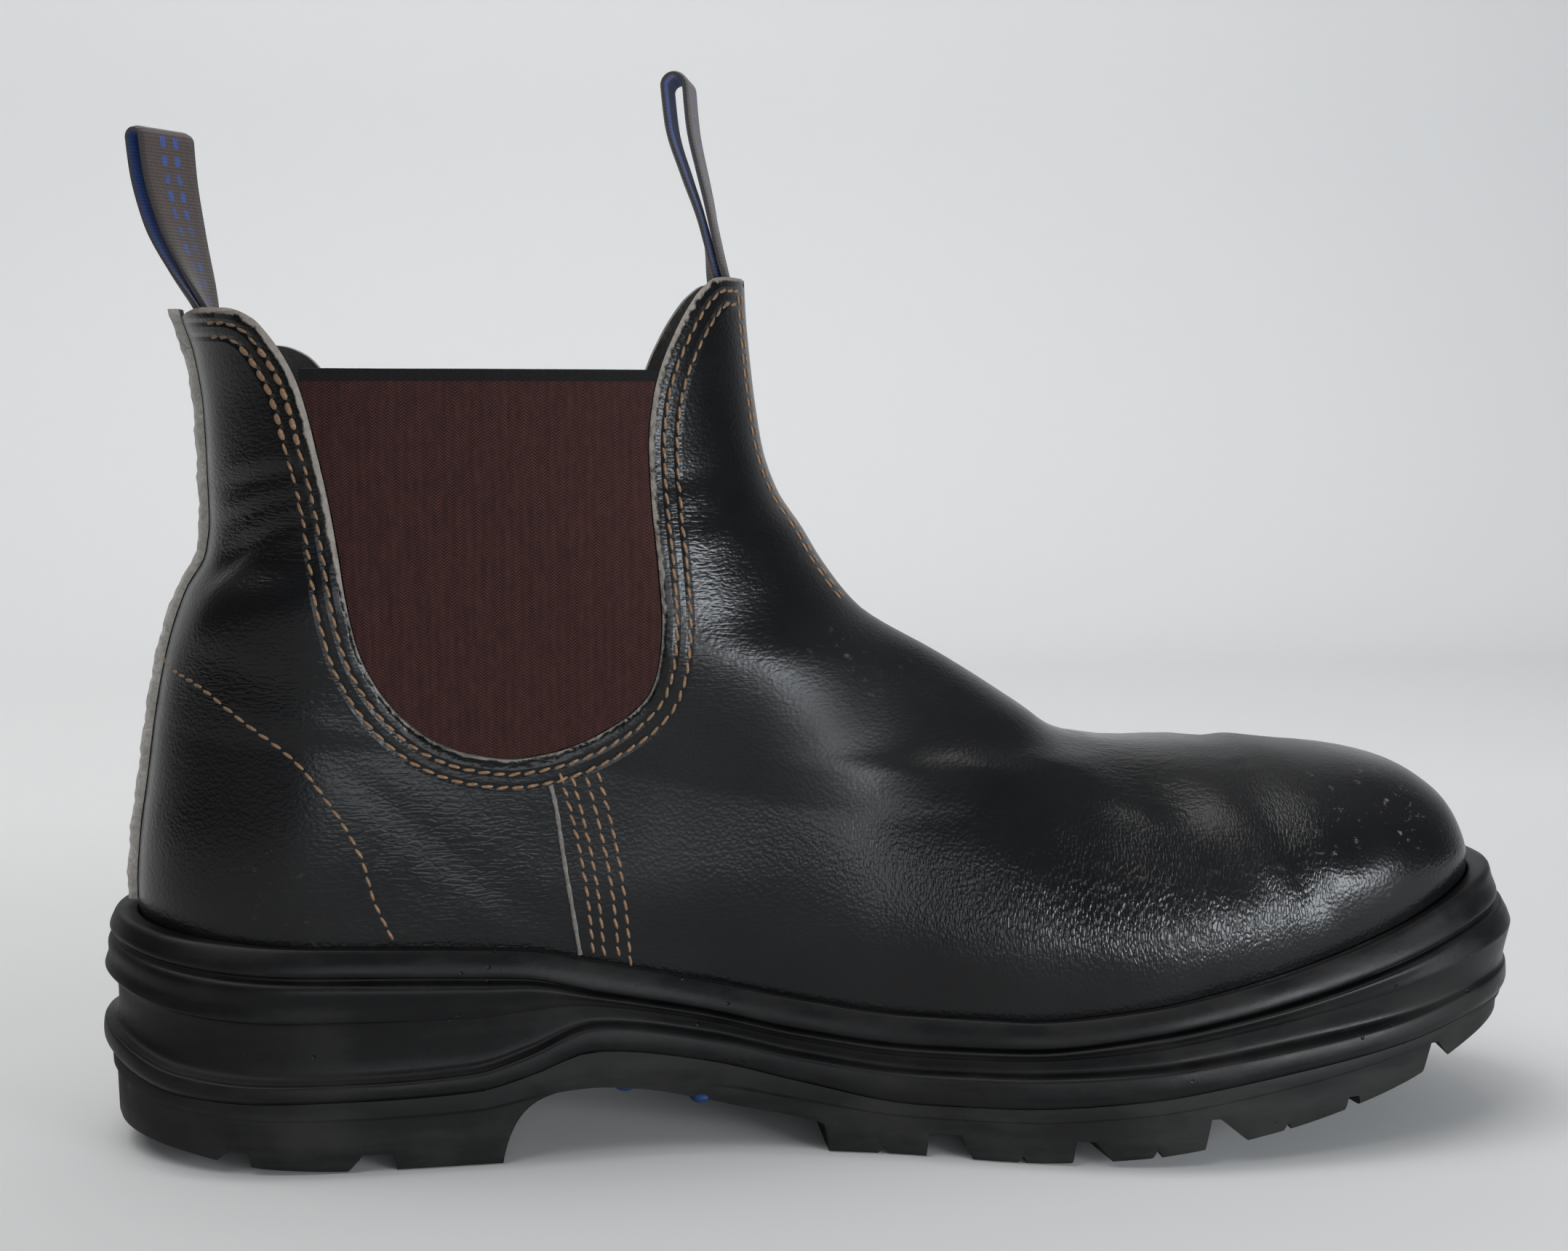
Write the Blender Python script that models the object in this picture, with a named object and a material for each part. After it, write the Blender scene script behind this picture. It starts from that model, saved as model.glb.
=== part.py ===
"""Left elastic-sided work boot: leather upper, two gores, back seam, two pull loops, insole, midsole, outsole.

Metres, +Z up, toe towards +X, inner (medial) side of the foot towards -Y, sole standing on z = 0.
"""

import math

import bmesh
import bpy
import numpy as np

# Driving dimensions of the boot
LENGTH = 0.301          # outsole, heel to toe
BALL_WIDTH = 0.107      # sole across the ball of the foot
SEAT_HEIGHT = 0.046     # floor to the lip of the sole beside the heel
UPPER_RISE = 0.132      # lip beside the heel to the top of the front tab
COLLAR_DROP = 0.006     # how much lower the rear quarter is on the outer side
COLLAR_SHIFT = 0.0047   # how much further forward it reaches there
LEATHER = 0.0022        # wall of the upper
GORE_THICKNESS = 0.0014
GORE_RECESS = 0.0006    # gore face below the leather face
GORE_HEIGHT = 0.1130    # top edge of the elastic above the lip beside the heel
SEAM_WIDTH = 0.0062     # raised seam up the back
SEAM_PROUD = 0.0024
LIP_DEPTH = 0.0035      # how far the upper sits inside the lip of the sole
LIP_TOP = 0.0014        # flat top of the lip
SOLE_MARGIN = 0.0056    # widest rib of the sole beyond the foot of the upper
INSOLE_THICKNESS = 0.0045
RIB_DEPTH = 0.0030      # deepest groove in the side of the midsole
OUTSOLE_INSET = 0.0030  # wall of the outsole behind the widest rib
LUG_DEPTH = 0.0052
CUT_BELOW = 0.012       # how far the cutters reach below the tread
CUT_ABOVE = 0.080       # how far the cutters reach above the collar
CUT_SPLIT = 0.020       # half width of the middle, where the collar cutter changes from one side to the other
TAPE_WIDTH = 0.016      # pull loop webbing
TAPE_THICKNESS = 0.0013
LOOP_TUCK = 0.013       # pull loop hidden behind the leather tab
GAP = 0.0003            # clearance between curved pieces

# Fineness of the faceted solids
SIDE_STATIONS = 27      # stations from heel to toe along each side
UPPER_RINGS = 20
HEEL_X = -LENGTH / 2
TOE_X = LENGTH / 2

# Plan of the sole: share of LENGTH from the heel; half widths and centreline as shares of BALL_WIDTH
PLAN = {
    "along":   (0.00, 0.12, 0.26, 0.40, 0.52, 0.63, 0.72, 0.82, 0.92, 1.00),
    "medial":  (0.33, 0.340, 0.325, 0.290, 0.350, 0.450, 0.500, 0.485, 0.455, 0.440),
    "lateral": (0.33, 0.340, 0.350, 0.375, 0.440, 0.495, 0.500, 0.460, 0.410, 0.390),
    "centre":  (0.00, 0.000, 0.000, 0.000, 0.000, 0.000, 0.000, -0.012, -0.040, -0.055),
}
HEEL_ROUND, HEEL_POWER = 0.150, 2.25   # length of the round end as a share of LENGTH, and its squareness
TOE_ROUND, TOE_POWER = 0.300, 2.45

# Side of the sole: heights of its lines as shares of SEAT_HEIGHT
SOLE_LINES = {
    "along":      (0.00, 0.06, 0.12, 0.19, 0.255, 0.29, 0.335, 0.41, 0.475, 0.55, 0.62, 0.70, 0.79, 0.88, 0.95, 1.00),
    "feather":    (1.08, 1.03, 1.00, 0.980, 0.960, 0.945, 0.880, 0.77, 0.685, 0.63, 0.63, 0.70, 0.82, 0.98, 1.13, 1.21),
    "groove":     (0.98, 0.91, 0.875, 0.855, 0.835, 0.820, 0.745, 0.64, 0.550, 0.50, 0.51, 0.59, 0.70, 0.84, 0.97, 1.04),
    "bulge_high": (0.60, 0.455, 0.420, 0.415, 0.435, 0.500, 0.605, 0.535, 0.445, 0.39, 0.40, 0.445, 0.52, 0.60, 0.69, 0.745),
    "bulge_low":  (0.47, 0.350, 0.330, 0.330, 0.345, 0.400, 0.490, 0.425, 0.330, 0.25, 0.26, 0.315, 0.40, 0.485, 0.575, 0.62),
    "tread":      (0.13, 0.08, 0.022, 0.000, 0.000, 0.000, 0.000, 0.00, 0.000, 0.00, 0.00, 0.040, 0.126, 0.27, 0.43, 0.515),
}

# Hollow under the arch between heel breast and forefoot: shares of LENGTH from the heel and of SEAT_HEIGHT
ARCH_UNDERSIDE = {
    "along": (0.2700, 0.2730, 0.2795, 0.288, 0.298, 0.311, 0.334, 0.367, 0.400, 0.434, 0.489, 0.4920, 0.4970),
    "high":  (-0.300, 0.0000, 0.1500, 0.235, 0.282, 0.309, 0.317, 0.296, 0.252, 0.202, 0.130, 0.0500, -0.300),
}

# Profile of the midsole's side from lip to bottom: upper line, lower line, share between them, then the depth
# as a share of RIB_DEPTH at the heel, along the sides and at the toe
MIDSOLE_RIBS = (
    ("feather", "groove", 0.08, 1.10, 1.10, 1.60),
    ("feather", "groove", 0.45, 0.74, 0.72, 1.30),
    ("feather", "groove", 0.78, 0.56, 0.58, 1.00),
    ("feather", "groove", 1.00, 0.74, 1.05, 0.85),
    ("groove", "bulge_high", 0.05, 0.60, 0.60, 0.72),
    ("groove", "bulge_high", 0.14, 0.40, 0.40, 0.50),
    ("groove", "bulge_high", 0.36, 0.24, 0.72, 0.06),
    ("groove", "bulge_high", 0.44, 0.36, 0.82, 0.00),
    ("groove", "bulge_high", 0.52, 0.86, 0.87, 0.05),
    ("groove", "bulge_high", 0.90, 0.90, 0.92, 0.33),
    ("bulge_high", "bulge_low", 0.04, 0.35, 0.35, 0.35),
    ("bulge_high", "bulge_low", 0.20, 0.06, 0.06, 0.25),
    ("bulge_high", "bulge_low", 0.70, 0.00, 0.00, 0.20),
    ("bulge_high", "bulge_low", 1.00, 0.40, 0.40, 0.40),
)
HEEL_RIB_END = 0.20      # share of LENGTH where the heel's profile, with its short rib, has faded out
TOE_RIB_START = 0.78     # share of LENGTH where the toe's profile begins

# Front profile of the upper, toe to collar: shares of LENGTH from the heel and of UPPER_RISE above SEAT_HEIGHT
FRONT_PROFILE = {
    "along": (0.9685, 0.968, 0.9625, 0.9515, 0.936, 0.914, 0.882, 0.812, 0.740, 0.690, 0.646,
              0.612, 0.576, 0.527, 0.502, 0.4875, 0.4695, 0.459, 0.454, 0.450, 0.447, 0.446, 0.446),
    "rise":  (0.020, 0.072, 0.115, 0.160, 0.193, 0.220, 0.235, 0.248, 0.253, 0.265, 0.315,
              0.363, 0.415, 0.481, 0.553, 0.610, 0.670, 0.735, 0.805, 0.880, 0.950, 1.020, 1.120),
}
# Back profile of the upper, sole to collar
BACK_PROFILE = {
    "along": (0.0255, 0.025, 0.0275, 0.0335, 0.0415, 0.051, 0.0635, 0.077, 0.080, 0.0795, 0.078, 0.073, 0.064, 0.056),
    "rise":  (-0.10, 0.05, 0.13, 0.22, 0.34, 0.44, 0.52, 0.575, 0.63, 0.70, 0.80, 0.88, 0.95, 1.12),
}
# Half widths of the shaft, as shares of BALL_WIDTH, by rise
SHAFT = {
    "rise":    (0.00, 0.25, 0.50, 0.75, 1.00, 1.12),
    "medial":  (0.290, 0.310, 0.325, 0.345, 0.355, 0.358),
    "lateral": (0.320, 0.325, 0.330, 0.345, 0.355, 0.358),
}
SHAFT_START, SHAFT_FULL = 0.10, 0.55   # rise over which the foot's width turns into the shaft's
BACK_ROUND, BACK_POWER = 0.135, 2.15   # round of the heel and shaft seen from above, share of LENGTH
FRONT_ROUND_TOE, FRONT_ROUND_SHAFT = 0.29, 0.20
ARCH_POWER = 2.35                      # squareness of the arched sections over the forefoot
ARCH_BLEND = 0.12                      # share of LENGTH over which the shaft's sections turn into arched ones
FOOT_BULGE = 0.050                     # how much the wall swells above the lip, as a share of its half width
RING_TILT = 0.30                       # slope of the ring sections over the forefoot
TILT_START = 0.45                      # share of LENGTH where that slope begins

# Top edge of the leather seen from the side, back to front: shares of LENGTH from the heel and of UPPER_RISE
COLLAR_EDGE = {
    "along": (-0.10, 0.040, 0.088, 0.104, 0.120, 0.131, 0.141, 0.149, 0.155, 0.161, 0.167, 0.172,
              0.177, 0.184, 0.196, 0.212, 0.232, 0.256, 0.282, 0.306, 0.328, 0.348, 0.364, 0.375,
              0.380, 0.382, 0.380, 0.3765, 0.375, 0.378, 0.384, 0.392, 0.403, 0.414, 0.425, 0.440, 0.480, 0.70),
    "rise":  (0.955, 0.950, 0.946, 0.944, 0.930, 0.905, 0.872, 0.835, 0.790, 0.730, 0.665, 0.595,
              0.520, 0.445, 0.385, 0.338, 0.302, 0.281, 0.273, 0.279, 0.294, 0.317, 0.343, 0.376,
              0.420, 0.480, 0.560, 0.650, 0.740, 0.810, 0.862, 0.905, 0.950, 0.982, 0.998, 1.000, 0.985, 0.97),
}
GORE_SPAN = (8, 32)      # points of COLLAR_EDGE that the gore lies between

# Grooves between the lugs, heel to toe: centre and width at the root as shares of LENGTH, skew in degrees,
# run for each unit of depth of the heel-side and toe-side walls, depth as a share of LUG_DEPTH
LUG_GROOVES = (
    (0.115, 0.0150, 8, 1.20, 0.10, 0.70),
    (0.180, 0.0205, -6, 0.90, 0.12, 0.70),
    (0.587, 0.0220, 8, 0.10, 0.46, 1.00),
    (0.636, 0.0120, -8, 0.12, 0.85, 1.00),
    (0.768, 0.0060, 8, 0.20, 1.20, 1.00),
    (0.823, 0.0080, -8, 0.25, 0.25, 0.80),
    (0.924, 0.0060, 6, 0.30, 0.80, 0.70),
)
CENTRE_GROOVE = (0.500, 0.950, 0.060)  # forefoot channel: start, end, width as a share of BALL_WIDTH

# Pull loops above the tab, by share of their rise: lean and opening as shares of it, twist in degrees
FRONT_LOOP = {
    "rise_m": 0.0415,
    "share": (0.00, 0.25, 0.50, 0.75, 1.00),
    "lean":  (0.00, -0.06, -0.135, -0.20, -0.225),
    "open":  (0.042, 0.050, 0.080, 0.105, 0.110),
    "twist": (0, 8, 11, 12, 12),
    "cup": -2.6,
}
REAR_LOOP = {
    "rise_m": 0.0365,
    "share": (0.00, 0.25, 0.50, 0.75, 1.00),
    "lean":  (0.00, -0.08, -0.150, -0.195, -0.215),
    "open":  (0.045, 0.070, 0.090, 0.090, 0.090),
    "twist": (0, 16, 26, 31, 33),
    "cup": 1.9,
}
SEAT_SLACK = 0.0004     # ease between the tape and the curved leather it is sewn behind

LEATHER_BLACK = ("leather_black", (0.012, 0.012, 0.013), 0.38)
RAW_LEATHER = ("raw_leather", (0.33, 0.29, 0.25), 0.85)
ELASTIC_BROWN = ("elastic_brown", (0.040, 0.016, 0.016), 0.90)
TAPE_BROWN = ("tape_brown", (0.060, 0.036, 0.030), 0.85)
FOAM_BLACK = ("foam_black", (0.016, 0.016, 0.017), 0.60)
TREAD_BLACK = ("tread_black", (0.020, 0.019, 0.018), 0.75)
FOOTBED_GREY = ("footbed_grey", (0.050, 0.050, 0.055), 0.90)


def clear_scene():
    """Empties the scene."""
    for old in list(bpy.data.objects):
        bpy.data.objects.remove(old)


def material(finish):
    """The named Principled material of a finish (name, colour, roughness)."""
    name, colour, roughness = finish
    made = bpy.data.materials.get(name) or bpy.data.materials.new(name)
    made.use_nodes = True
    shader = made.node_tree.nodes["Principled BSDF"]
    shader.inputs["Base Color"].default_value = (*colour, 1.0)
    shader.inputs["Roughness"].default_value = roughness
    shader.inputs["Metallic"].default_value = 0.0
    return made


def smooth(xs, ys, x):
    """Value at x of the smooth curve through a table's points, with no overshoot between them."""
    xs, ys, x = (np.asarray(a, float) for a in (xs, ys, x))
    step = np.diff(xs)
    slope = np.diff(ys) / step
    tangent = np.zeros(len(xs))
    same = slope[:-1] * slope[1:] > 0
    weight_a, weight_b = 2 * step[1:] + step[:-1], step[1:] + 2 * step[:-1]
    safe = np.where(same, slope[:-1], 1.0), np.where(same, slope[1:], 1.0)
    mean = (weight_a + weight_b) / (weight_a / safe[0] + weight_b / safe[1])
    tangent[1:-1] = np.where(same, mean, 0.0)
    tangent[0], tangent[-1] = slope[0], slope[-1]
    i = np.clip(np.searchsorted(xs, x) - 1, 0, len(step) - 1)
    t = np.clip((x - xs[i]) / step[i], 0, 1)
    rise = ys[i + 1] - ys[i]
    first, last = tangent[i] * step[i], tangent[i + 1] * step[i]
    return ys[i] + t * (first + t * ((3 * rise - 2 * first - last) + t * (first + last - 2 * rise)))


def round_end(distance, length, power):
    """Share of full width at a distance from a round end."""
    s = np.clip(1 - distance / length, 0, 1)
    return (1 - s ** power) ** (1 / power)


def sole_line(name, x):
    """Height of one of the sole's lines at x."""
    return SEAT_HEIGHT * smooth(SOLE_LINES["along"], SOLE_LINES[name], (x - HEEL_X) / LENGTH)


def centreline(x):
    """Sideways place of the middle of the foot at x."""
    return BALL_WIDTH * smooth(PLAN["along"], PLAN["centre"], (x - HEEL_X) / LENGTH)


def plan_width(side, x):
    """Half width of the sole's widest outline on one side, with its ends not yet rounded."""
    return BALL_WIDTH * smooth(PLAN["along"], PLAN[side], (x - HEEL_X) / LENGTH)


def stations(count=SIDE_STATIONS):
    """Positions from 0 to 1, closer together towards both ends."""
    return (1 - np.cos(np.linspace(0, math.pi, count))) / 2


def outline(inset, count=SIDE_STATIONS):
    """Closed plan outline of the sole drawn in by inset: medial side heel to toe, then lateral side back."""
    t = stations(count)
    heel, toe = HEEL_X + inset, TOE_X - inset
    x = heel + t * (toe - heel)
    ends = round_end(x - heel, HEEL_ROUND * LENGTH, HEEL_POWER) * round_end(toe - x, TOE_ROUND * LENGTH, TOE_POWER)
    medial = centreline(x) - (plan_width("medial", x) - inset) * ends
    lateral = centreline(x) + (plan_width("lateral", x) - inset) * ends
    return np.concatenate([x, x[-2:0:-1]]), np.concatenate([medial, lateral[-2:0:-1]])


def new_object(name, mesh, finish):
    """Links a mesh object with its material."""
    made = bpy.data.objects.new(name, mesh)
    bpy.context.scene.collection.objects.link(made)
    if finish:
        mesh.materials.append(material(finish))
    return made


def mesh_from(name, points, faces):
    """A mesh with its normals turned outwards."""
    mesh = bpy.data.meshes.new(name)
    mesh.from_pydata([tuple(p) for p in points], [], faces)
    shape = bmesh.new()
    shape.from_mesh(mesh)
    bmesh.ops.recalc_face_normals(shape, faces=shape.faces)
    shape.to_mesh(mesh)
    shape.free()
    return mesh


def ring_faces(rings, around):
    """Quads between consecutive closed rings of points."""
    return [
        (j * around + i, j * around + (i + 1) % around, (j + 1) * around + (i + 1) % around, (j + 1) * around + i)
        for j in range(rings - 1)
        for i in range(around)
    ]


def cap_faces(first, around):
    """Closes a ring of outline points with strips from the medial to the lateral side."""
    half = around // 2
    faces = [(first, first + 1, first + around - 1)]
    for i in range(1, half - 1):
        faces.append((first + i, first + i + 1, first + around - i - 1, first + around - i))
    faces.append((first + half - 1, first + half, first + half + 1))
    return faces


def lofted(name, rings, finish):
    """A closed solid through rings of points, capped at both ends."""
    around = len(rings[0])
    faces = ring_faces(len(rings), around) + cap_faces(0, around) + cap_faces((len(rings) - 1) * around, around)
    return new_object(name, mesh_from(name, np.concatenate(rings), faces), finish)


def sole_ring(inset, height):
    """Points of the sole's outline drawn in by inset, at the height given as a function of x."""
    x, y = outline(inset)
    return np.stack([x, y, height(x)], axis=1)


def between(upper, lower, share):
    """Height function between two of the sole's lines."""
    return lambda x: sole_line(upper, x) + share * (sole_line(lower, x) - sole_line(upper, x))


def rib_ring(upper, lower, share, heel_depth, side_depth, toe_depth):
    """One ring of the midsole's side, whose depth changes from the heel along the side to the toe."""
    heel, side, toe = (np.stack(outline(depth * RIB_DEPTH), axis=1) for depth in (heel_depth, side_depth, toe_depth))
    along = (side[:, :1] - HEEL_X) / LENGTH
    plan = side + ease((HEEL_RIB_END - along) / HEEL_RIB_END) * (heel - side)
    plan += ease((along - TOE_RIB_START) / (1 - TOE_RIB_START)) * (toe - side)
    return np.column_stack([plan, between(upper, lower, share)(plan[:, 0])])


def ledge(x):
    """Height of the midsole's top face, on which the upper and the insole stand."""
    return sole_line("feather", x) - LIP_DEPTH


def make_midsole():
    """Foam midsole: ribbed side, lip round the upper, ledge inside it and a flat underside."""
    rings = [
        foot_ring(GAP, ledge),
        foot_ring(GAP, lambda x: sole_line("feather", x)),
        foot_ring(GAP + LIP_TOP, lambda x: sole_line("feather", x)),
    ]
    rings += [rib_ring(*row) for row in MIDSOLE_RIBS]
    return lofted("midsole", rings, FOAM_BLACK)


def make_cutter(name, points, faces):
    """A hidden solid that a Boolean uses."""
    made = new_object(name, mesh_from(name, points, faces), None)
    made.hide_render = True
    made.display_type = "WIRE"
    return made


def boolean(target, tool, operation):
    """Adds an exact Boolean to an object."""
    cut = target.modifiers.new(operation.title(), "BOOLEAN")
    cut.operation = operation
    cut.object = tool
    cut.solver = "EXACT"


def groove_cutter(name, along, root_width, skew, rear_slope, front_slope, depth_share):
    """A bar with sloping sides that cuts one groove across the tread."""
    x0 = HEEL_X + along * LENGTH
    floor = float(sole_line("tread", x0))
    half, depth = root_width * LENGTH / 2, depth_share * LUG_DEPTH
    reach, below = BALL_WIDTH, CUT_BELOW
    rear, front = half + rear_slope * (depth + below), half + front_slope * (depth + below)
    section = [(-half, floor + depth), (half, floor + depth), (front, floor - below), (-rear, floor - below)]
    shift = math.tan(math.radians(skew)) * reach
    points = [(x0 + x + s * shift, s * reach, z) for s in (-1, 1) for x, z in section]
    return make_cutter(name, points, box_faces())


def box_faces():
    """Faces of a prism with four points at each end."""
    return [(0, 1, 2, 3), (7, 6, 5, 4)] + [(i, i + 4, (i + 1) % 4 + 4, (i + 1) % 4) for i in range(4)]


def channel_cutter():
    """The lengthwise channel in the middle of the forefoot tread, following the toe spring."""
    start, end, width = CENTRE_GROOVE
    x = HEEL_X + LENGTH * np.linspace(start, end, 9)
    half, floor = width * BALL_WIDTH / 2, sole_line("tread", x)
    middle = centreline(x)
    points, faces = [], []
    for i in range(len(x)):
        top, low = floor[i] + LUG_DEPTH * 0.8, floor[i] - CUT_BELOW
        points += [(x[i], middle[i] - half, top), (x[i], middle[i] + half, top),
                   (x[i], middle[i] + half * 1.5, low), (x[i], middle[i] - half * 1.5, low)]
    for i in range(len(x) - 1):
        faces += [(4 * i + k, 4 * i + (k + 1) % 4, 4 * i + 4 + (k + 1) % 4, 4 * i + 4 + k) for k in range(4)]
    faces += [(0, 1, 2, 3), tuple(4 * (len(x) - 1) + k for k in (3, 2, 1, 0))]
    return make_cutter("channel_cutter", points, faces)


def arch_cutter():
    """The hollow under the arch, right across the sole, with the heel breast behind and the first lugs before it."""
    steps = np.arange(len(ARCH_UNDERSIDE["along"]))
    fine = np.linspace(0, steps[-1], 2 * steps[-1] + 1)
    x = HEEL_X + LENGTH * smooth(steps, ARCH_UNDERSIDE["along"], fine)
    z = SEAT_HEIGHT * smooth(steps, ARCH_UNDERSIDE["high"], fine)
    return prism("arch_cutter", list(zip(x, z)))


def make_outsole():
    """Rubber outsole: inset wall, rounded edge and lugs between grooves cut through the tread."""
    rings = [
        sole_ring(OUTSOLE_INSET * 0.5, lambda x: sole_line("bulge_low", x) - GAP),
        sole_ring(OUTSOLE_INSET * 0.7, between("bulge_low", "tread", 0.30)),
        sole_ring(OUTSOLE_INSET * 0.8, between("bulge_low", "tread", 0.90)),
        sole_ring(OUTSOLE_INSET * 1.2, lambda x: sole_line("tread", x)),
    ]
    outsole = lofted("outsole", rings, TREAD_BLACK)
    boolean(outsole, arch_cutter(), "DIFFERENCE")
    for number, row in enumerate(LUG_GROOVES, start=1):
        boolean(outsole, groove_cutter(f"groove_cutter_{number}", *row), "DIFFERENCE")
    boolean(outsole, channel_cutter(), "DIFFERENCE")
    return outsole


def rise_of(z):
    """Height as a share of UPPER_RISE above the seat."""
    return (z - SEAT_HEIGHT) / UPPER_RISE


def front_x(z):
    """Place of the front profile at a height."""
    return HEEL_X + LENGTH * smooth(FRONT_PROFILE["rise"], FRONT_PROFILE["along"], rise_of(z))


def back_x(z):
    """Place of the back profile at a height."""
    return HEEL_X + LENGTH * smooth(BACK_PROFILE["rise"], BACK_PROFILE["along"], rise_of(z))


def ridge_z(x):
    """Height of the front profile over x, from the shaft to the toe."""
    along = FRONT_PROFILE["along"][-2::-1]
    return SEAT_HEIGHT + UPPER_RISE * smooth(along, FRONT_PROFILE["rise"][-2::-1], (x - HEEL_X) / LENGTH)


def ease(t):
    """Smooth step from 0 to 1."""
    t = np.clip(t, 0, 1)
    return t * t * (3 - 2 * t)


def upper_width(side, x, z):
    """Half width of the upper's outer face on one side at a point of the side view."""
    rise = rise_of(z)
    foot = plan_width(side, x) - SOLE_MARGIN
    shaft = BALL_WIDTH * smooth(SHAFT["rise"], SHAFT[side], rise)
    full = foot + ease((rise - SHAFT_START) / (SHAFT_FULL - SHAFT_START)) * (shaft - foot)
    low, high = sole_line("feather", x), ridge_z(x)
    arched = ease(((x - HEEL_X) / LENGTH - FRONT_PROFILE["along"][-2]) / ARCH_BLEND)
    up = np.clip((z - low) / np.maximum(high - low, 1e-4), 0, 1)
    arch = (1 - up ** ARCH_POWER) ** (arched / ARCH_POWER)
    blend = ease(rise / SHAFT_FULL)
    length = LENGTH * (FRONT_ROUND_TOE + blend * (FRONT_ROUND_SHAFT - FRONT_ROUND_TOE))
    power = TOE_POWER + blend * (2.0 - TOE_POWER)
    nose = round_end(front_x(z) - x, length, power)
    ends = (np.maximum(arch, 1e-5) ** -3 + np.maximum(nose, 1e-5) ** -3 - 1) ** (-1 / 3)
    heel = round_end(x - back_x(z), BACK_ROUND * LENGTH, BACK_POWER)
    swell = 1 + FOOT_BULGE * np.sin(math.pi * np.clip((z - low) / (0.30 * UPPER_RISE), 0, 1))
    return full * swell * heel * ends


def tilt(x):
    """Rise of the tilted ring sections over the forefoot."""
    run = x - (HEEL_X + TILT_START * LENGTH)
    return RING_TILT * (np.sqrt(run ** 2 + (0.06 * LENGTH) ** 2) + run) / 2


def ring_height(level, x):
    """Height at x of the ring section at a level: 0 is the ledge of the sole, 1 is above the collar."""
    base = ledge(x) + GAP
    top = SEAT_HEIGHT + 1.10 * UPPER_RISE + tilt(x)
    return base + level * (top - base)


def ring_ends(level):
    """Back and front ends of the ring section at a level."""
    back = HEEL_X + 0.05 * LENGTH
    for _ in range(30):
        back = float(back_x(ring_height(level, back)))
    rise = np.linspace(FRONT_PROFILE["rise"][0] - 0.08, FRONT_PROFILE["rise"][-1], 600)
    z = SEAT_HEIGHT + rise * UPPER_RISE
    x = front_x(z)
    base = ledge(x) + GAP
    levels = (z - base) / (SEAT_HEIGHT + 1.10 * UPPER_RISE + tilt(x) - base)
    return back, float(np.interp(level, levels, x))


def ring_section(level, count=SIDE_STATIONS):
    """Closed ring of points on the upper's outer face: medial side back to front, then lateral side back."""
    back, front = ring_ends(level)
    x = back + stations(count) * (front - back)
    z = ring_height(level, x)
    middle = centreline(x)
    medial = middle - upper_width("medial", x, z)
    lateral = middle + upper_width("lateral", x, z)
    medial[[0, -1]] = lateral[[0, -1]] = middle[[0, -1]]
    return np.stack([
        np.concatenate([x, x[-2:0:-1]]),
        np.concatenate([medial, lateral[-2:0:-1]]),
        np.concatenate([z, z[-2:0:-1]]),
    ], axis=1)


def foot_ring(move, height):
    """Plan outline of the upper's foot moved outwards, at the height given as a function of x."""
    ring = ring_section(0)[:, :2]
    run = np.roll(ring, -1, axis=0) - np.roll(ring, 1, axis=0)
    run /= np.linalg.norm(run, axis=1)[:, None]
    ring = ring + move * np.stack([run[:, 1], -run[:, 0]], axis=1)
    return np.column_stack([ring, height(ring[:, 0])])


def ring_levels(count):
    """Levels of the ring sections, closer together over the toe."""
    return np.linspace(0, 1, count) ** 1.35


def upper_sheet(name, offset, finish, rings=UPPER_RINGS):
    """The upper's outer face as an open sheet, moved outwards by offset."""
    points = np.concatenate([ring_section(level) for level in ring_levels(rings)])
    around = len(points) // rings
    mesh = mesh_from(name, points, ring_faces(rings, around))
    if sum(p.normal.dot(p.center - mesh.polygons[0].center) > 0 for p in mesh.polygons) * 2 < len(mesh.polygons):
        mesh.flip_normals()
    mesh.update()
    for vertex, normal in zip(mesh.vertices, [v.normal.copy() for v in mesh.vertices]):
        vertex.co += normal * offset
    return new_object(name, mesh, finish)


def shell(name, outside, thickness, finish):
    """The upper's form as a wall whose outer face lies outside the leather's by outside."""
    made = upper_sheet(name, outside, finish)
    wall = made.modifiers.new("Wall", "SOLIDIFY")
    wall.thickness = thickness
    wall.offset = -1
    wall.use_even_offset = True
    return made


def collar_points(grow):
    """Top edge of the leather in the side view, moved into the leather by grow."""
    steps = np.arange(len(COLLAR_EDGE["along"]))
    fine = np.linspace(0, steps[-1], 3 * steps[-1] + 1)
    x = HEEL_X + LENGTH * smooth(steps, COLLAR_EDGE["along"], fine)
    z = SEAT_HEIGHT + UPPER_RISE * smooth(steps, COLLAR_EDGE["rise"], fine)
    tangent = np.stack([np.gradient(x), np.gradient(z)], axis=1)
    tangent /= np.linalg.norm(tangent, axis=1)[:, None]
    return np.stack([x - tangent[:, 1] * grow, z + tangent[:, 0] * grow], axis=1)


def prism(name, polygon, shift=None):
    """A prism right across the boot through an outline in the side view, moved by shift(x) on the outer side."""
    reach, count = BALL_WIDTH, len(polygon)
    points = []
    for y, side in ((-reach, 0), (-CUT_SPLIT, 0), (CUT_SPLIT, 1), (reach, 1)):
        for x, z in polygon:
            dx, dz = shift(x) if shift and side else (0, 0)
            points.append((x + dx, y, z + dz))
    faces = ring_faces(4, count) + [tuple(range(count)), tuple(range(4 * count - 1, 3 * count - 1, -1))]
    return make_cutter(name, points, faces)


def collar_shift(x):
    """Move of the collar's edge on the outer side: the rear quarter drops and reaches further forward."""
    rear = float(ease((0.36 - (x - HEEL_X) / LENGTH) / 0.18))
    return COLLAR_SHIFT * rear, -COLLAR_DROP * rear


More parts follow.
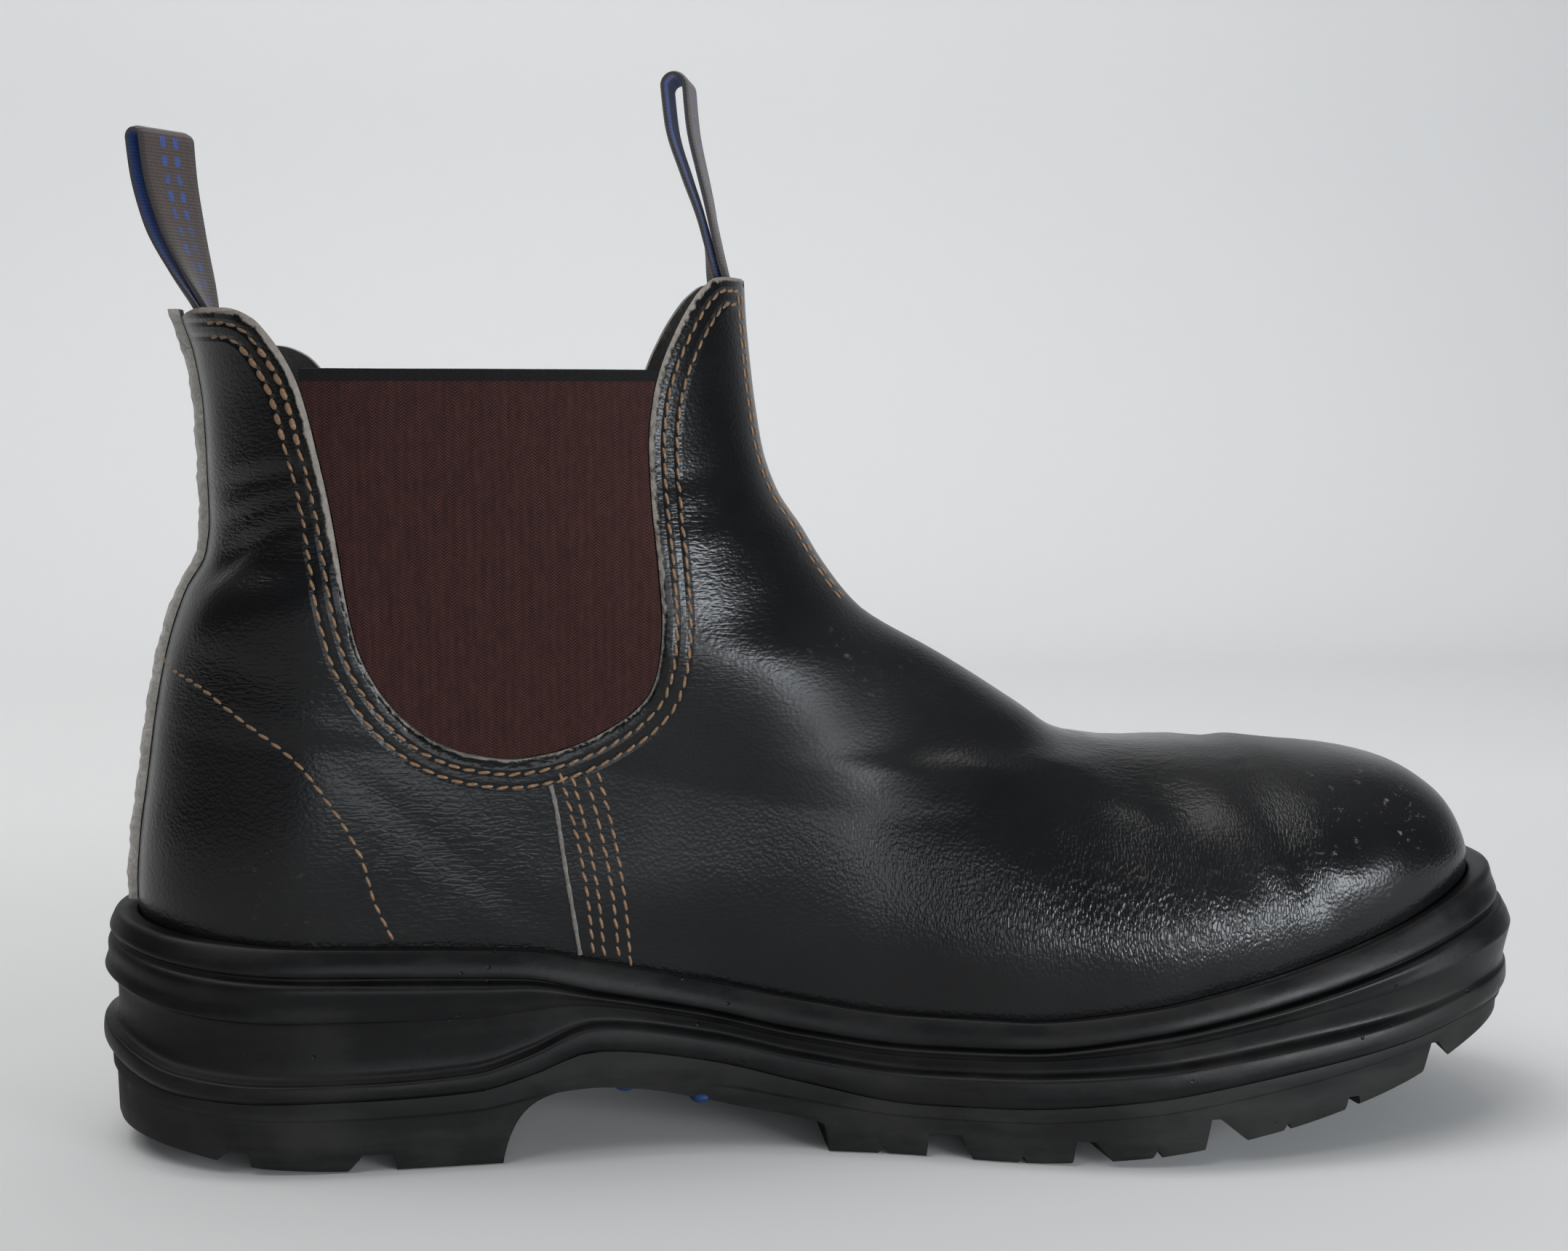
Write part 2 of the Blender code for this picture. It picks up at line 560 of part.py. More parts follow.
def make_upper():
    """Leather upper: one wall, cut along the collar and down round both gores, open below."""
    upper = shell("upper", 0, LEATHER, LEATHER_BLACK)
    edge = collar_points(0)
    above = SEAT_HEIGHT + UPPER_RISE + CUT_ABOVE
    polygon = [(edge[0, 0], above)] + [tuple(p) for p in edge] + [(edge[-1, 0], above)]
    boolean(upper, prism("collar_cutter", polygon, collar_shift), "DIFFERENCE")
    return upper


def make_gore(name, side):
    """Elastic gore on one side, GAP inside the cut edge of the leather."""
    gore = shell(name, -GORE_RECESS, GORE_THICKNESS, ELASTIC_BROWN)
    edge = collar_points(GAP)
    first, last = (3 * p for p in GORE_SPAN)
    top = SEAT_HEIGHT + GORE_HEIGHT
    inside = [tuple(p) for p in edge[first:last + 1] if p[1] < top - 0.0005]
    before = next(p for p in edge[first:] if p[1] < top)
    after = next(p for p in edge[last::-1] if p[1] < top)
    polygon = [(before[0], top)] + inside + [(after[0], top)]
    boolean(gore, prism(f"{name}_form", polygon, collar_shift), "INTERSECT")
    reach = BALL_WIDTH
    low, high = (-reach, 0.0) if side < 0 else (0.0, reach)
    corners = [(x, y, z) for x in (-LENGTH, LENGTH) for y, z in ((low, 0), (high, 0), (high, LENGTH), (low, LENGTH))]
    boolean(gore, make_cutter(f"{name}_side", corners, box_faces()), "INTERSECT")
    return gore


def make_back_seam():
    """Raised raw-edged seam up the back, from the lip of the sole to the collar."""
    seam = shell("back_seam", SEAM_PROUD, SEAM_PROUD - GAP, RAW_LEATHER)
    half = SEAM_WIDTH / 2
    low = float(sole_line("feather", HEEL_X)) + GAP
    high = SEAT_HEIGHT + COLLAR_EDGE["rise"][1] * UPPER_RISE
    section = [(-half, low), (half, low), (half, high), (-half, high)]
    corners = [(x, y, z) for x in (-LENGTH, HEEL_X + 0.2 * LENGTH) for y, z in section]
    boolean(seam, make_cutter("back_seam_form", corners, box_faces()), "INTERSECT")
    return seam


def make_insole():
    """Flat footbed inside the upper, GAP above the midsole and GAP inside the leather."""
    inset = -(LEATHER + 2 * GAP)
    rings = [
        foot_ring(inset, lambda x: ledge(x) + GAP),
        foot_ring(inset, lambda x: ledge(x) + GAP + INSOLE_THICKNESS),
    ]
    return lofted("insole", rings, FOOTBED_GREY)


def loop_rows(shape, tuck):
    """Height, opening, twist and lean along a pull loop, from the hidden foot of the tape to its fold."""
    rise = shape["rise_m"]
    share = np.concatenate([np.linspace(-tuck / rise, 0, 4)[:-1], np.linspace(0, 0.94, 9)])
    up = np.clip(share, 0, 1)
    lean, opening, twist = (smooth(shape["share"], shape[key], up) for key in ("lean", "open", "twist"))
    return share * rise, lean * rise, opening * rise / 2, twist


def make_loop(name, shape, top, seat):
    """A pull loop: a folded band of tape, cupped to the leather at its foot, turning and leaning as it rises."""
    height, lean, half, twist = loop_rows(shape, LOOP_TUCK)
    middle = np.array([seat(top + min(h, 0)) for h in height]) + lean
    fold = np.linspace(math.pi, 0, 7)[1:-1]
    x = np.concatenate([middle - half, middle[-1] + half[-1] * np.cos(fold), (middle + half)[::-1]])
    z = np.concatenate([height, height[-1] + half[-1] * np.sin(fold), height[::-1]])
    turn = np.radians(np.concatenate([twist, np.full(len(fold), twist[-1]), twist[::-1]]))
    centre = np.stack([x, z], axis=1)
    tangent = np.gradient(centre, axis=0)
    tangent /= np.linalg.norm(tangent, axis=1)[:, None]
    across = np.linspace(-0.5, 0.5, 5) * TAPE_WIDTH
    around = [(y, 1) for y in across] + [(y, -1) for y in across[::-1]]
    axis = np.interp(z, height, middle)
    points = []
    for i in range(len(x)):
        cup = (1 - float(ease((z[i] + 0.002) / (0.5 * shape["rise_m"])))) * shape["cup"] / BALL_WIDTH
        for y, face in around:
            out = x[i] - axis[i] - face * tangent[i, 1] * TAPE_THICKNESS / 2
            side = y * math.cos(turn[i]) - out * math.sin(turn[i])
            ahead = out * math.cos(turn[i]) + y * math.sin(turn[i])
            points.append((axis[i] + ahead + cup * side * side, side, top + z[i] + face * tangent[i, 0] * TAPE_THICKNESS / 2))
    count, loop = len(x), len(around)
    faces = ring_faces(count, loop)
    for first in (0, (count - 1) * loop):
        faces += [(first + i, first + i + 1, first + loop - 2 - i, first + loop - 1 - i) for i in range(loop // 2 - 1)]
    return new_object(name, mesh_from(name, points, faces), TAPE_BROWN)


def make_loops():
    """Front and rear pull loops, seated against the inner face of the leather tabs."""
    behind = LEATHER + GAP + TAPE_THICKNESS + SEAT_SLACK
    top_front = SEAT_HEIGHT + UPPER_RISE
    top_rear = SEAT_HEIGHT + COLLAR_EDGE["rise"][2] * UPPER_RISE
    make_loop("front_pull_loop", FRONT_LOOP, top_front, lambda z: float(front_x(z)) - behind)
    make_loop("rear_pull_loop", REAR_LOOP, top_rear, lambda z: float(back_x(z)) + behind)


def main():
    """Builds every piece of the boot."""
    clear_scene()
    make_outsole()
    make_midsole()
    make_insole()
    make_upper()
    make_gore("gore_inner", -1)
    make_gore("gore_outer", 1)
    make_back_seam()
    make_loops()


main()
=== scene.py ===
"""Looks of the left side gore work boot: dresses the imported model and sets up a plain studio."""

import sys
import logging
import math
from dataclasses import dataclass, field
from enum import Enum

import bmesh
import bpy
import numpy as np
from mathutils import Matrix, Vector


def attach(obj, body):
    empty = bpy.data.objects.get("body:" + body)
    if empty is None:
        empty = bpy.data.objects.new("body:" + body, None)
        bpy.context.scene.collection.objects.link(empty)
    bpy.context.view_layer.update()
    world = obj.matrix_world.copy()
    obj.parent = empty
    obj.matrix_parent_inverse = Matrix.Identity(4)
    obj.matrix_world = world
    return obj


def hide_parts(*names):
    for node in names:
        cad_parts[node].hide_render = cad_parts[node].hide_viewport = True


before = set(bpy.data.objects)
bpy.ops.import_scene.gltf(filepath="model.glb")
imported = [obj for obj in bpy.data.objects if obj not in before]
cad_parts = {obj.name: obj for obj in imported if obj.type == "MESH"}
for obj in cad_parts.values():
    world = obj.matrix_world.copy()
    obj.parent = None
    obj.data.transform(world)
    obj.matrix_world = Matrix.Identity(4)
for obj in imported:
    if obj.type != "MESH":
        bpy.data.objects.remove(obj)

LOG = logging.getLogger("boot")
MM = 0.001
GAP = 0.0003

Socket = bpy.types.NodeSocket
Input = bpy.types.NodeSocket | float
Colour = tuple[float, float, float]
Triple = tuple[float, float, float]
Faces = list[tuple[int, ...]]


class Side(Enum):
    """Side of the boot, with its direction along Y."""

    INNER = -1
    OUTER = 1


@dataclass(frozen=True)
class Curve:
    """Smooth curve through a short table, with no overshoot between its points."""

    x: tuple[float, ...]
    y: tuple[float, ...]

    def __call__(self, at: np.ndarray | float) -> np.ndarray:
        """Value of the curve.

        Args:
            at: Places along the table's first column.

        Returns:
            Values of the second column there.
        """
        xs, ys, at = np.asarray(self.x, float), np.asarray(self.y, float), np.asarray(at, float)
        step = np.diff(xs)
        slope = np.diff(ys) / step
        tangent = np.zeros(len(xs))
        same = slope[:-1] * slope[1:] > 0
        first, second = 2 * step[1:] + step[:-1], step[1:] + 2 * step[:-1]
        left, right = np.where(same, slope[:-1], 1.0), np.where(same, slope[1:], 1.0)
        tangent[1:-1] = np.where(same, (first + second) / (first / left + second / right), 0.0)
        tangent[0], tangent[-1] = slope[0], slope[-1]
        i = np.clip(np.searchsorted(xs, at) - 1, 0, len(step) - 1)
        t = np.clip((at - xs[i]) / step[i], 0, 1)
        rise = ys[i + 1] - ys[i]
        begin, end = tangent[i] * step[i], tangent[i + 1] * step[i]
        return ys[i] + t * (begin + t * ((3 * rise - 2 * begin - end) + t * (begin + end - 2 * rise)))


def ease(t: np.ndarray | float) -> np.ndarray:
    """Smooth step from 0 to 1."""
    t = np.clip(t, 0, 1)
    return t * t * (3 - 2 * t)


def round_end(distance: np.ndarray, length: float, power: float) -> np.ndarray:
    """Share of full width at a distance from a round end."""
    s = np.clip(1 - distance / length, 0, 1)
    return (1 - s ** power) ** (1 / power)


SOLE_ALONG = (0.00, 0.06, 0.12, 0.19, 0.255, 0.29, 0.335, 0.41, 0.475, 0.55, 0.62, 0.70, 0.79, 0.88, 0.95,
              1.00)
PLAN_ALONG = (0.00, 0.12, 0.26, 0.40, 0.52, 0.63, 0.72, 0.82, 0.92, 1.00)
FRONT_ALONG = (0.9685, 0.968, 0.9625, 0.9515, 0.936, 0.914, 0.882, 0.812, 0.740, 0.690, 0.646,
               0.612, 0.576, 0.527, 0.502, 0.4875, 0.4695, 0.459, 0.454, 0.450, 0.447, 0.446, 0.446)
FRONT_RISE = (0.020, 0.072, 0.115, 0.160, 0.193, 0.220, 0.235, 0.248, 0.253, 0.265, 0.315,
              0.363, 0.415, 0.481, 0.553, 0.610, 0.670, 0.735, 0.805, 0.880, 0.950, 1.020, 1.120)
SHAFT_RISE = (0.0, 0.25, 0.5, 0.75, 1.0, 1.12)
BACK_ALONG = (0.0255, 0.025, 0.0275, 0.0335, 0.0415, 0.051, 0.0635, 0.077, 0.080, 0.0795, 0.078, 0.073, 0.064,
              0.056)
BACK_RISE = (-0.10, 0.05, 0.13, 0.22, 0.34, 0.44, 0.52, 0.575, 0.63, 0.70, 0.80, 0.88, 0.95, 1.12)
EDGE_ALONG = (-0.10, 0.040, 0.088, 0.104, 0.120, 0.131, 0.141, 0.149, 0.155, 0.161, 0.167, 0.172,
              0.177, 0.184, 0.196, 0.212, 0.232, 0.256, 0.282, 0.306, 0.328, 0.348, 0.364, 0.375,
              0.380, 0.382, 0.380, 0.3765, 0.375, 0.378, 0.384, 0.392, 0.403, 0.414, 0.425, 0.440, 0.480,
              0.70)
EDGE_RISE = (0.955, 0.950, 0.946, 0.944, 0.930, 0.905, 0.872, 0.835, 0.790, 0.730, 0.665, 0.595,
             0.520, 0.445, 0.385, 0.338, 0.302, 0.281, 0.273, 0.279, 0.294, 0.317, 0.343, 0.376,
             0.420, 0.480, 0.560, 0.650, 0.740, 0.810, 0.862, 0.905, 0.950, 0.982, 0.998, 1.000, 0.985, 0.97)


@dataclass(frozen=True)
class BootForm:
    """The boot's shape in the frame's own sizes: plan, side profiles and collar edge, as in the CAD model."""

    length: float = 0.301
    ball_width: float = 0.107
    seat_height: float = 0.046
    upper_rise: float = 0.132
    collar_drop: float = 0.006
    collar_shift: float = 0.0047
    leather: float = 0.0022
    lip_depth: float = 0.0035
    lip_top: float = 0.0014
    sole_margin: float = 0.0056
    rib_depth: float = 0.0030
    gore_height: float = 0.1130
    arch_blend: float = 0.12
    arch_power: float = 2.35
    heel_power: float = 2.15
    heel_reach: float = 0.135
    foot_swell: float = 0.05
    ring_top: float = 1.10
    medial: Curve = Curve(PLAN_ALONG, (0.33, 0.340, 0.325, 0.290, 0.350, 0.450, 0.500, 0.485, 0.455, 0.440))
    lateral: Curve = Curve(PLAN_ALONG, (0.33, 0.340, 0.350, 0.375, 0.440, 0.495, 0.500, 0.460, 0.410, 0.390))
    middle: Curve = Curve(PLAN_ALONG, (0.0, 0.0, 0.0, 0.0, 0.0, 0.0, 0.0, -0.012, -0.040, -0.055))
    feather: Curve = Curve(SOLE_ALONG, (1.08, 1.03, 1.00, 0.980, 0.960, 0.945, 0.880, 0.77, 0.685, 0.63, 0.63,
                                        0.70, 0.82, 0.98, 1.13, 1.21))
    groove: Curve = Curve(SOLE_ALONG, (0.98, 0.91, 0.875, 0.855, 0.835, 0.820, 0.745, 0.64, 0.550, 0.50, 0.51,
                                       0.59, 0.70, 0.84, 0.97, 1.04))
    bulge_high: Curve = Curve(SOLE_ALONG, (0.60, 0.455, 0.420, 0.415, 0.435, 0.500, 0.605, 0.535, 0.445, 0.39,
                                           0.40, 0.445, 0.52, 0.60, 0.69, 0.745))
    bulge_low: Curve = Curve(SOLE_ALONG, (0.47, 0.350, 0.330, 0.330, 0.345, 0.400, 0.490, 0.425, 0.330, 0.25,
                                          0.26, 0.315, 0.40, 0.485, 0.575, 0.62))
    tread: Curve = Curve(SOLE_ALONG, (0.13, 0.08, 0.022, 0.000, 0.000, 0.000, 0.000, 0.00, 0.000, 0.00, 0.00,
                                      0.040, 0.126, 0.27, 0.43, 0.515))
    front: Curve = Curve(FRONT_RISE, FRONT_ALONG)
    ridge: Curve = Curve(FRONT_ALONG[-2::-1], FRONT_RISE[-2::-1])
    back: Curve = Curve(BACK_RISE, BACK_ALONG)
    shaft_medial: Curve = Curve(SHAFT_RISE, (0.290, 0.310, 0.325, 0.345, 0.355, 0.358))
    shaft_lateral: Curve = Curve(SHAFT_RISE, (0.320, 0.325, 0.330, 0.345, 0.355, 0.358))

    @property
    def heel(self) -> float:
        """Place of the back of the sole."""
        return -self.length / 2

    def share(self, x: np.ndarray) -> np.ndarray:
        """Share of the length from the heel."""
        return (x - self.heel) / self.length

    def line(self, name: str, x: np.ndarray) -> np.ndarray:
        """Height of one of the sole's lines."""
        return self.seat_height * getattr(self, name)(self.share(x))

    def centre(self, x: np.ndarray) -> np.ndarray:
        """Sideways place of the middle of the foot."""
        return self.ball_width * self.middle(self.share(x))

    def plan(self, side: Side, x: np.ndarray) -> np.ndarray:
        """Half width of the sole's widest outline before its ends are rounded."""
        curve = self.medial if side is Side.INNER else self.lateral
        return self.ball_width * curve(self.share(x))

    def rise_of(self, z: np.ndarray) -> np.ndarray:
        """Height as a share of the upper's rise."""
        return (z - self.seat_height) / self.upper_rise

    def front_x(self, z: np.ndarray) -> np.ndarray:
        """Front profile at a height."""
        return self.heel + self.length * self.front(self.rise_of(z))

    def back_x(self, z: np.ndarray) -> np.ndarray:
        """Back profile at a height."""
        return self.heel + self.length * self.back(self.rise_of(z))

    def width(self, side: Side, x: np.ndarray, z: np.ndarray) -> np.ndarray:
        """Half width of the upper's outer face at a point of the side view.

        Args:
            side: Inner or outer side.
            x: Places along the boot.
            z: Heights.

        Returns:
            Distances from the middle of the foot.
        """
        x, z = np.asarray(x, float), np.asarray(z, float)
        rise = self.rise_of(z)
        foot = self.plan(side, x) - self.sole_margin
        curve = self.shaft_medial if side is Side.INNER else self.shaft_lateral
        full = foot + ease((rise - 0.10) / 0.45) * (self.ball_width * curve(rise) - foot)
        low, high = self.line("feather", x), self.seat_height + self.upper_rise * self.ridge(self.share(x))
        arched = ease((self.share(x) - FRONT_ALONG[-2]) / self.arch_blend)
        up = np.clip((z - low) / np.maximum(high - low, 1e-4), 0, 1)
        arch = (1 - up ** self.arch_power) ** (arched / self.arch_power)
        blend = ease(rise / 0.55)
        reach, power = self.length * (0.29 - 0.09 * blend), 2.45 - 0.45 * blend
        nose = round_end(self.front_x(z) - x, reach, power)
        ends = (np.maximum(arch, 1e-5) ** -3 + np.maximum(nose, 1e-5) ** -3 - 1) ** (-1 / 3)
        heel = round_end(x - self.back_x(z), self.heel_reach * self.length, self.heel_power)
        swell = 1 + self.foot_swell * np.sin(math.pi * np.clip((z - low) / (0.30 * self.upper_rise), 0, 1))
        return full * swell * heel * ends

    def point(self, side: Side, x: np.ndarray, z: np.ndarray) -> tuple[np.ndarray, np.ndarray]:
        """Points on the upper and the outward directions there.

        Args:
            side: Inner or outer side.
            x: Places along the boot in the side view.
            z: Heights in the side view.

        Returns:
            The points and the unit normals, one row each.
        """
        x, z = np.asarray(x, float), np.asarray(z, float)
        step = 0.4 * MM
        at = self.centre(x) + side.value * self.width(side, x, z)
        along = (self.width(side, x + step, z) - self.width(side, x - step, z)) / (2 * step)
        up = (self.width(side, x, z + step) - self.width(side, x, z - step)) / (2 * step)
        normal = np.stack([-along, np.full_like(along, side.value), -up], axis=-1)
        normal /= np.linalg.norm(normal, axis=-1, keepdims=True)
        return np.stack([x, at, z], axis=-1), normal

    def stations(self, count: int) -> np.ndarray:
        """Positions from 0 to 1, closer together towards both ends."""
        return (1 - np.cos(np.linspace(0, math.pi, count))) / 2

    def tilt(self, x: np.ndarray) -> np.ndarray:
        """Rise of the ring sections over the forefoot."""
        run = x - (self.heel + 0.45 * self.length)
        return 0.30 * (np.sqrt(run ** 2 + (0.06 * self.length) ** 2) + run) / 2

    def ring_height(self, level: float, x: np.ndarray) -> np.ndarray:
        """Height of a ring section: level 0 is the sole's ledge, 1 is above the collar."""
        base = self.line("feather", x) - self.lip_depth + GAP
        return base + level * (self.seat_height + self.ring_top * self.upper_rise + self.tilt(x) - base)

    def ring(self, level: float, count: int) -> np.ndarray:
        """Closed ring of points on the upper: inner side back to front, then outer side back.

        Args:
            level: Share from the ledge of the sole to the top.
            count: Points along each side.

        Returns:
            Points, one row each.
        """
        back = self.heel + 0.05 * self.length
        for _ in range(30):
            back = float(self.back_x(self.ring_height(level, back)))
        z = self.seat_height + self.upper_rise * np.linspace(FRONT_RISE[0] - 0.08, FRONT_RISE[-1], 800)
        x = self.front_x(z)
        base = self.line("feather", x) - self.lip_depth + GAP
        levels = (z - base) / (self.seat_height + self.ring_top * self.upper_rise + self.tilt(x) - base)
        guess = float(np.interp(level, levels, x))
        front, beyond = guess - 4 * MM, guess + 4 * MM
        for _ in range(24):
            half = (front + beyond) / 2
            if self.front_x(self.ring_height(level, half)) > half:
                front = half
            else:
                beyond = half
        x = back + self.stations(count) * (front - back)
        z, middle = self.ring_height(level, x), self.centre(x)
        inner, outer = middle - self.width(Side.INNER, x, z), middle + self.width(Side.OUTER, x, z)
        inner[[0, -1]] = outer[[0, -1]] = middle[[0, -1]]
        return np.stack([np.concatenate([x, x[-2:0:-1]]), np.concatenate([inner, outer[-2:0:-1]]),
                         np.concatenate([z, z[-2:0:-1]])], axis=1)

    def foot_ring(self, move: float, count: int) -> np.ndarray:
        """Plan outline of the upper's foot moved outwards.

        Args:
            move: Distance outwards.
            count: Points along each side.

        Returns:
            Points (x, y).
        """
        ring = self.ring(0, count)[:, :2]
        run = np.roll(ring, -1, axis=0) - np.roll(ring, 1, axis=0)
        run /= np.linalg.norm(run, axis=1)[:, None]
        return ring + move * np.stack([run[:, 1], -run[:, 0]], axis=1)

    def outline(self, inset: float, count: int) -> np.ndarray:
        """Closed plan outline of the sole drawn in by inset.

        Args:
            inset: Distance inwards.
            count: Points along each side.

        Returns:
            Points (x, y).
        """
        heel, toe = self.heel + inset, -self.heel - inset
        x = heel + self.stations(count) * (toe - heel)
        ends = round_end(x - heel, 0.150 * self.length, 2.25) * round_end(toe - x, 0.300 * self.length, 2.45)
        inner = self.centre(x) - (self.plan(Side.INNER, x) - inset) * ends
        outer = self.centre(x) + (self.plan(Side.OUTER, x) - inset) * ends
        return np.stack([np.concatenate([x, x[-2:0:-1]]), np.concatenate([inner, outer[-2:0:-1]])], axis=1)

    def collar(self, grow: float = 0.0, side: Side = Side.INNER, per: int = 6) -> np.ndarray:
        """Top edge of the leather in the side view.

        Args:
            grow: Distance into the opening; negative is into the leather.
            side: Inner or outer side.
            per: Points for each row of the table.

        Returns:
            Points (x, z), back to front.
        """
        steps = np.arange(len(EDGE_ALONG))
        fine = np.linspace(0, steps[-1], per * steps[-1] + 1)
        x = self.heel + self.length * Curve(tuple(steps), EDGE_ALONG)(fine)
        z = self.seat_height + self.upper_rise * Curve(tuple(steps), EDGE_RISE)(fine)
        if side is Side.OUTER:
            rear = ease((0.36 - self.share(x)) / 0.18)
            x, z = x + self.collar_shift * rear, z - self.collar_drop * rear
        tangent = np.stack([np.gradient(x), np.gradient(z)], axis=1)
        tangent /= np.linalg.norm(tangent, axis=1)[:, None]
        return np.stack([x - tangent[:, 1] * grow, z + tangent[:, 0] * grow], axis=1)

    def back_point(self, y: float, z: float, lift: float) -> np.ndarray:
        """A point on the back of the upper, a small distance y from its middle, moved backwards by lift.

        Args:
            y: Sideways place.
            z: Height.
            lift: Distance backwards.

        Returns:
            The point.
        """
        full = float(self.ball_width * self.shaft_medial(self.rise_of(z)))
        round_back = (1 - min(abs(y) / full, 1) ** self.heel_power) ** (1 / self.heel_power)
        away = self.heel_reach * self.length * (1 - round_back)
        return np.array([float(self.back_x(z)) + away - lift, y, z])


FORM = BootForm()


def distance_to(points: np.ndarray, line: np.ndarray) -> np.ndarray:
    """Shortest distance from points to a polyline, both in the side view.

    Args:
        points: Points (x, z).
        line: Points (x, z) of the polyline.

    Returns:
        One distance for each point.
    """
    best = np.full(len(points), np.inf)
    for a, b in zip(line[:-1], line[1:]):
        run = b - a
        t = np.clip(((points - a) @ run) / max(run @ run, 1e-18), 0, 1)
        best = np.minimum(best, np.linalg.norm(points - a - t[:, None] * run, axis=1))
    return best


# Meshes


def mesh_object(name: str, points: np.ndarray, faces: Faces) -> bpy.types.Object:
    """A linked object of a new mesh with its faces turned outwards.

    Args:
        name: Name of the piece.
        points: Places of its vertices.
        faces: Vertex numbers of each face.

    Returns:
        The object.
    """
    mesh = bpy.data.meshes.new(name)
    mesh.from_pydata([tuple(map(float, p)) for p in points], [], faces)
    shape = bmesh.new()
    shape.from_mesh(mesh)
    bmesh.ops.recalc_face_normals(shape, faces=shape.faces)
    shape.to_mesh(mesh)
    shape.free()
    made = bpy.data.objects.new(name, mesh)
    bpy.context.scene.collection.objects.link(made)
    return made


def ring_faces(rings: int, around: int, first: int = 0) -> Faces:
    """Quads between consecutive closed rings of points.

    Args:
        rings: Number of rings.
        around: Points in each ring.
        first: Number of the first point.

    Returns:
        The faces.
    """
    return [(first + j * around + i, first + j * around + (i + 1) % around,
             first + (j + 1) * around + (i + 1) % around, first + (j + 1) * around + i)
            for j in range(rings - 1) for i in range(around)]


def cap_faces(first: int, around: int) -> Faces:
    """Closes a ring of outline points with strips from the inner to the outer side.

    Args:
        first: Number of the ring's first point.
        around: Points in the ring.

    Returns:
        The faces.
    """
    half = around // 2
    faces = [(first, first + 1, first + around - 1)]
    faces += [(first + i, first + i + 1, first + around - i - 1, first + around - i)
              for i in range(1, half - 1)]
    return faces + [(first + half - 1, first + half, first + half + 1)]


def smooth_shade(piece: bpy.types.Object, angle: float = 180.0) -> None:
    """Smooth shading, kept sharp over an angle in degrees.

    Args:
        piece: Piece to shade.
        angle: Angle above which an edge stays sharp.
    """
    if angle >= 180:
        piece.data.shade_smooth()
        return
    shape = bmesh.new()
    shape.from_mesh(piece.data)
    for edge in shape.edges:
        edge.smooth = len(edge.link_faces) == 2 and edge.calc_face_angle(0.0) < math.radians(angle)
    for face in shape.faces:
        face.smooth = True
    shape.to_mesh(piece.data)
    shape.free()


def applied(piece: bpy.types.Object) -> bpy.types.Object:
    """Puts an object's modifiers into its mesh.

    Args:
        piece: Object with modifiers.

    Returns:
        The same object, without modifiers.
    """
    graph = bpy.context.evaluated_depsgraph_get()
    graph.update()
    mesh = bpy.data.meshes.new_from_object(piece.evaluated_get(graph), depsgraph=graph)
    piece.modifiers.clear()
    piece.data = mesh
    return piece


def cut(piece: bpy.types.Object, tool: bpy.types.Object, operation: str = "DIFFERENCE") -> None:
    """Applies an exact Boolean and removes its tool.

    Args:
        piece: Piece to change.
        tool: Closed mesh that cuts it.
        operation: Kind of Boolean.
    """
    step = piece.modifiers.new("Cut", "BOOLEAN")
    step.operation, step.object, step.solver = operation, tool, "EXACT"
    step.material_mode = "TRANSFER"
    applied(piece)
    bpy.data.objects.remove(tool)


def attribute(piece: bpy.types.Object, name: str, values: np.ndarray) -> None:
    """Writes a number for each vertex."""
    layer = piece.data.attributes.new(name, "FLOAT", "POINT")
    layer.data.foreach_set("value", np.asarray(values, np.float32))


def positions(piece: bpy.types.Object) -> np.ndarray:
    """All vertex places of a piece.

    Args:
        piece: Piece to read.

    Returns:
        Places, one row each.
    """
    flat = np.empty(3 * len(piece.data.vertices))
    piece.data.vertices.foreach_get("co", flat)
    return flat.reshape(-1, 3)


def belongs(piece: bpy.types.Object, slot: str, *nodes: str) -> bpy.types.Object:
    """Puts a piece on the root body and hides the CAD nodes it stands for.

    Args:
        piece: The piece.
        slot: Material slot of the record; not used.
        nodes: CAD nodes that it stands for.

    Returns:
        The same piece.
    """
    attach(piece, "root")
    if nodes:
        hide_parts(*nodes)
    LOG.info("%s: %d faces", piece.name, len(piece.data.polygons))
    return piece


# Finishes


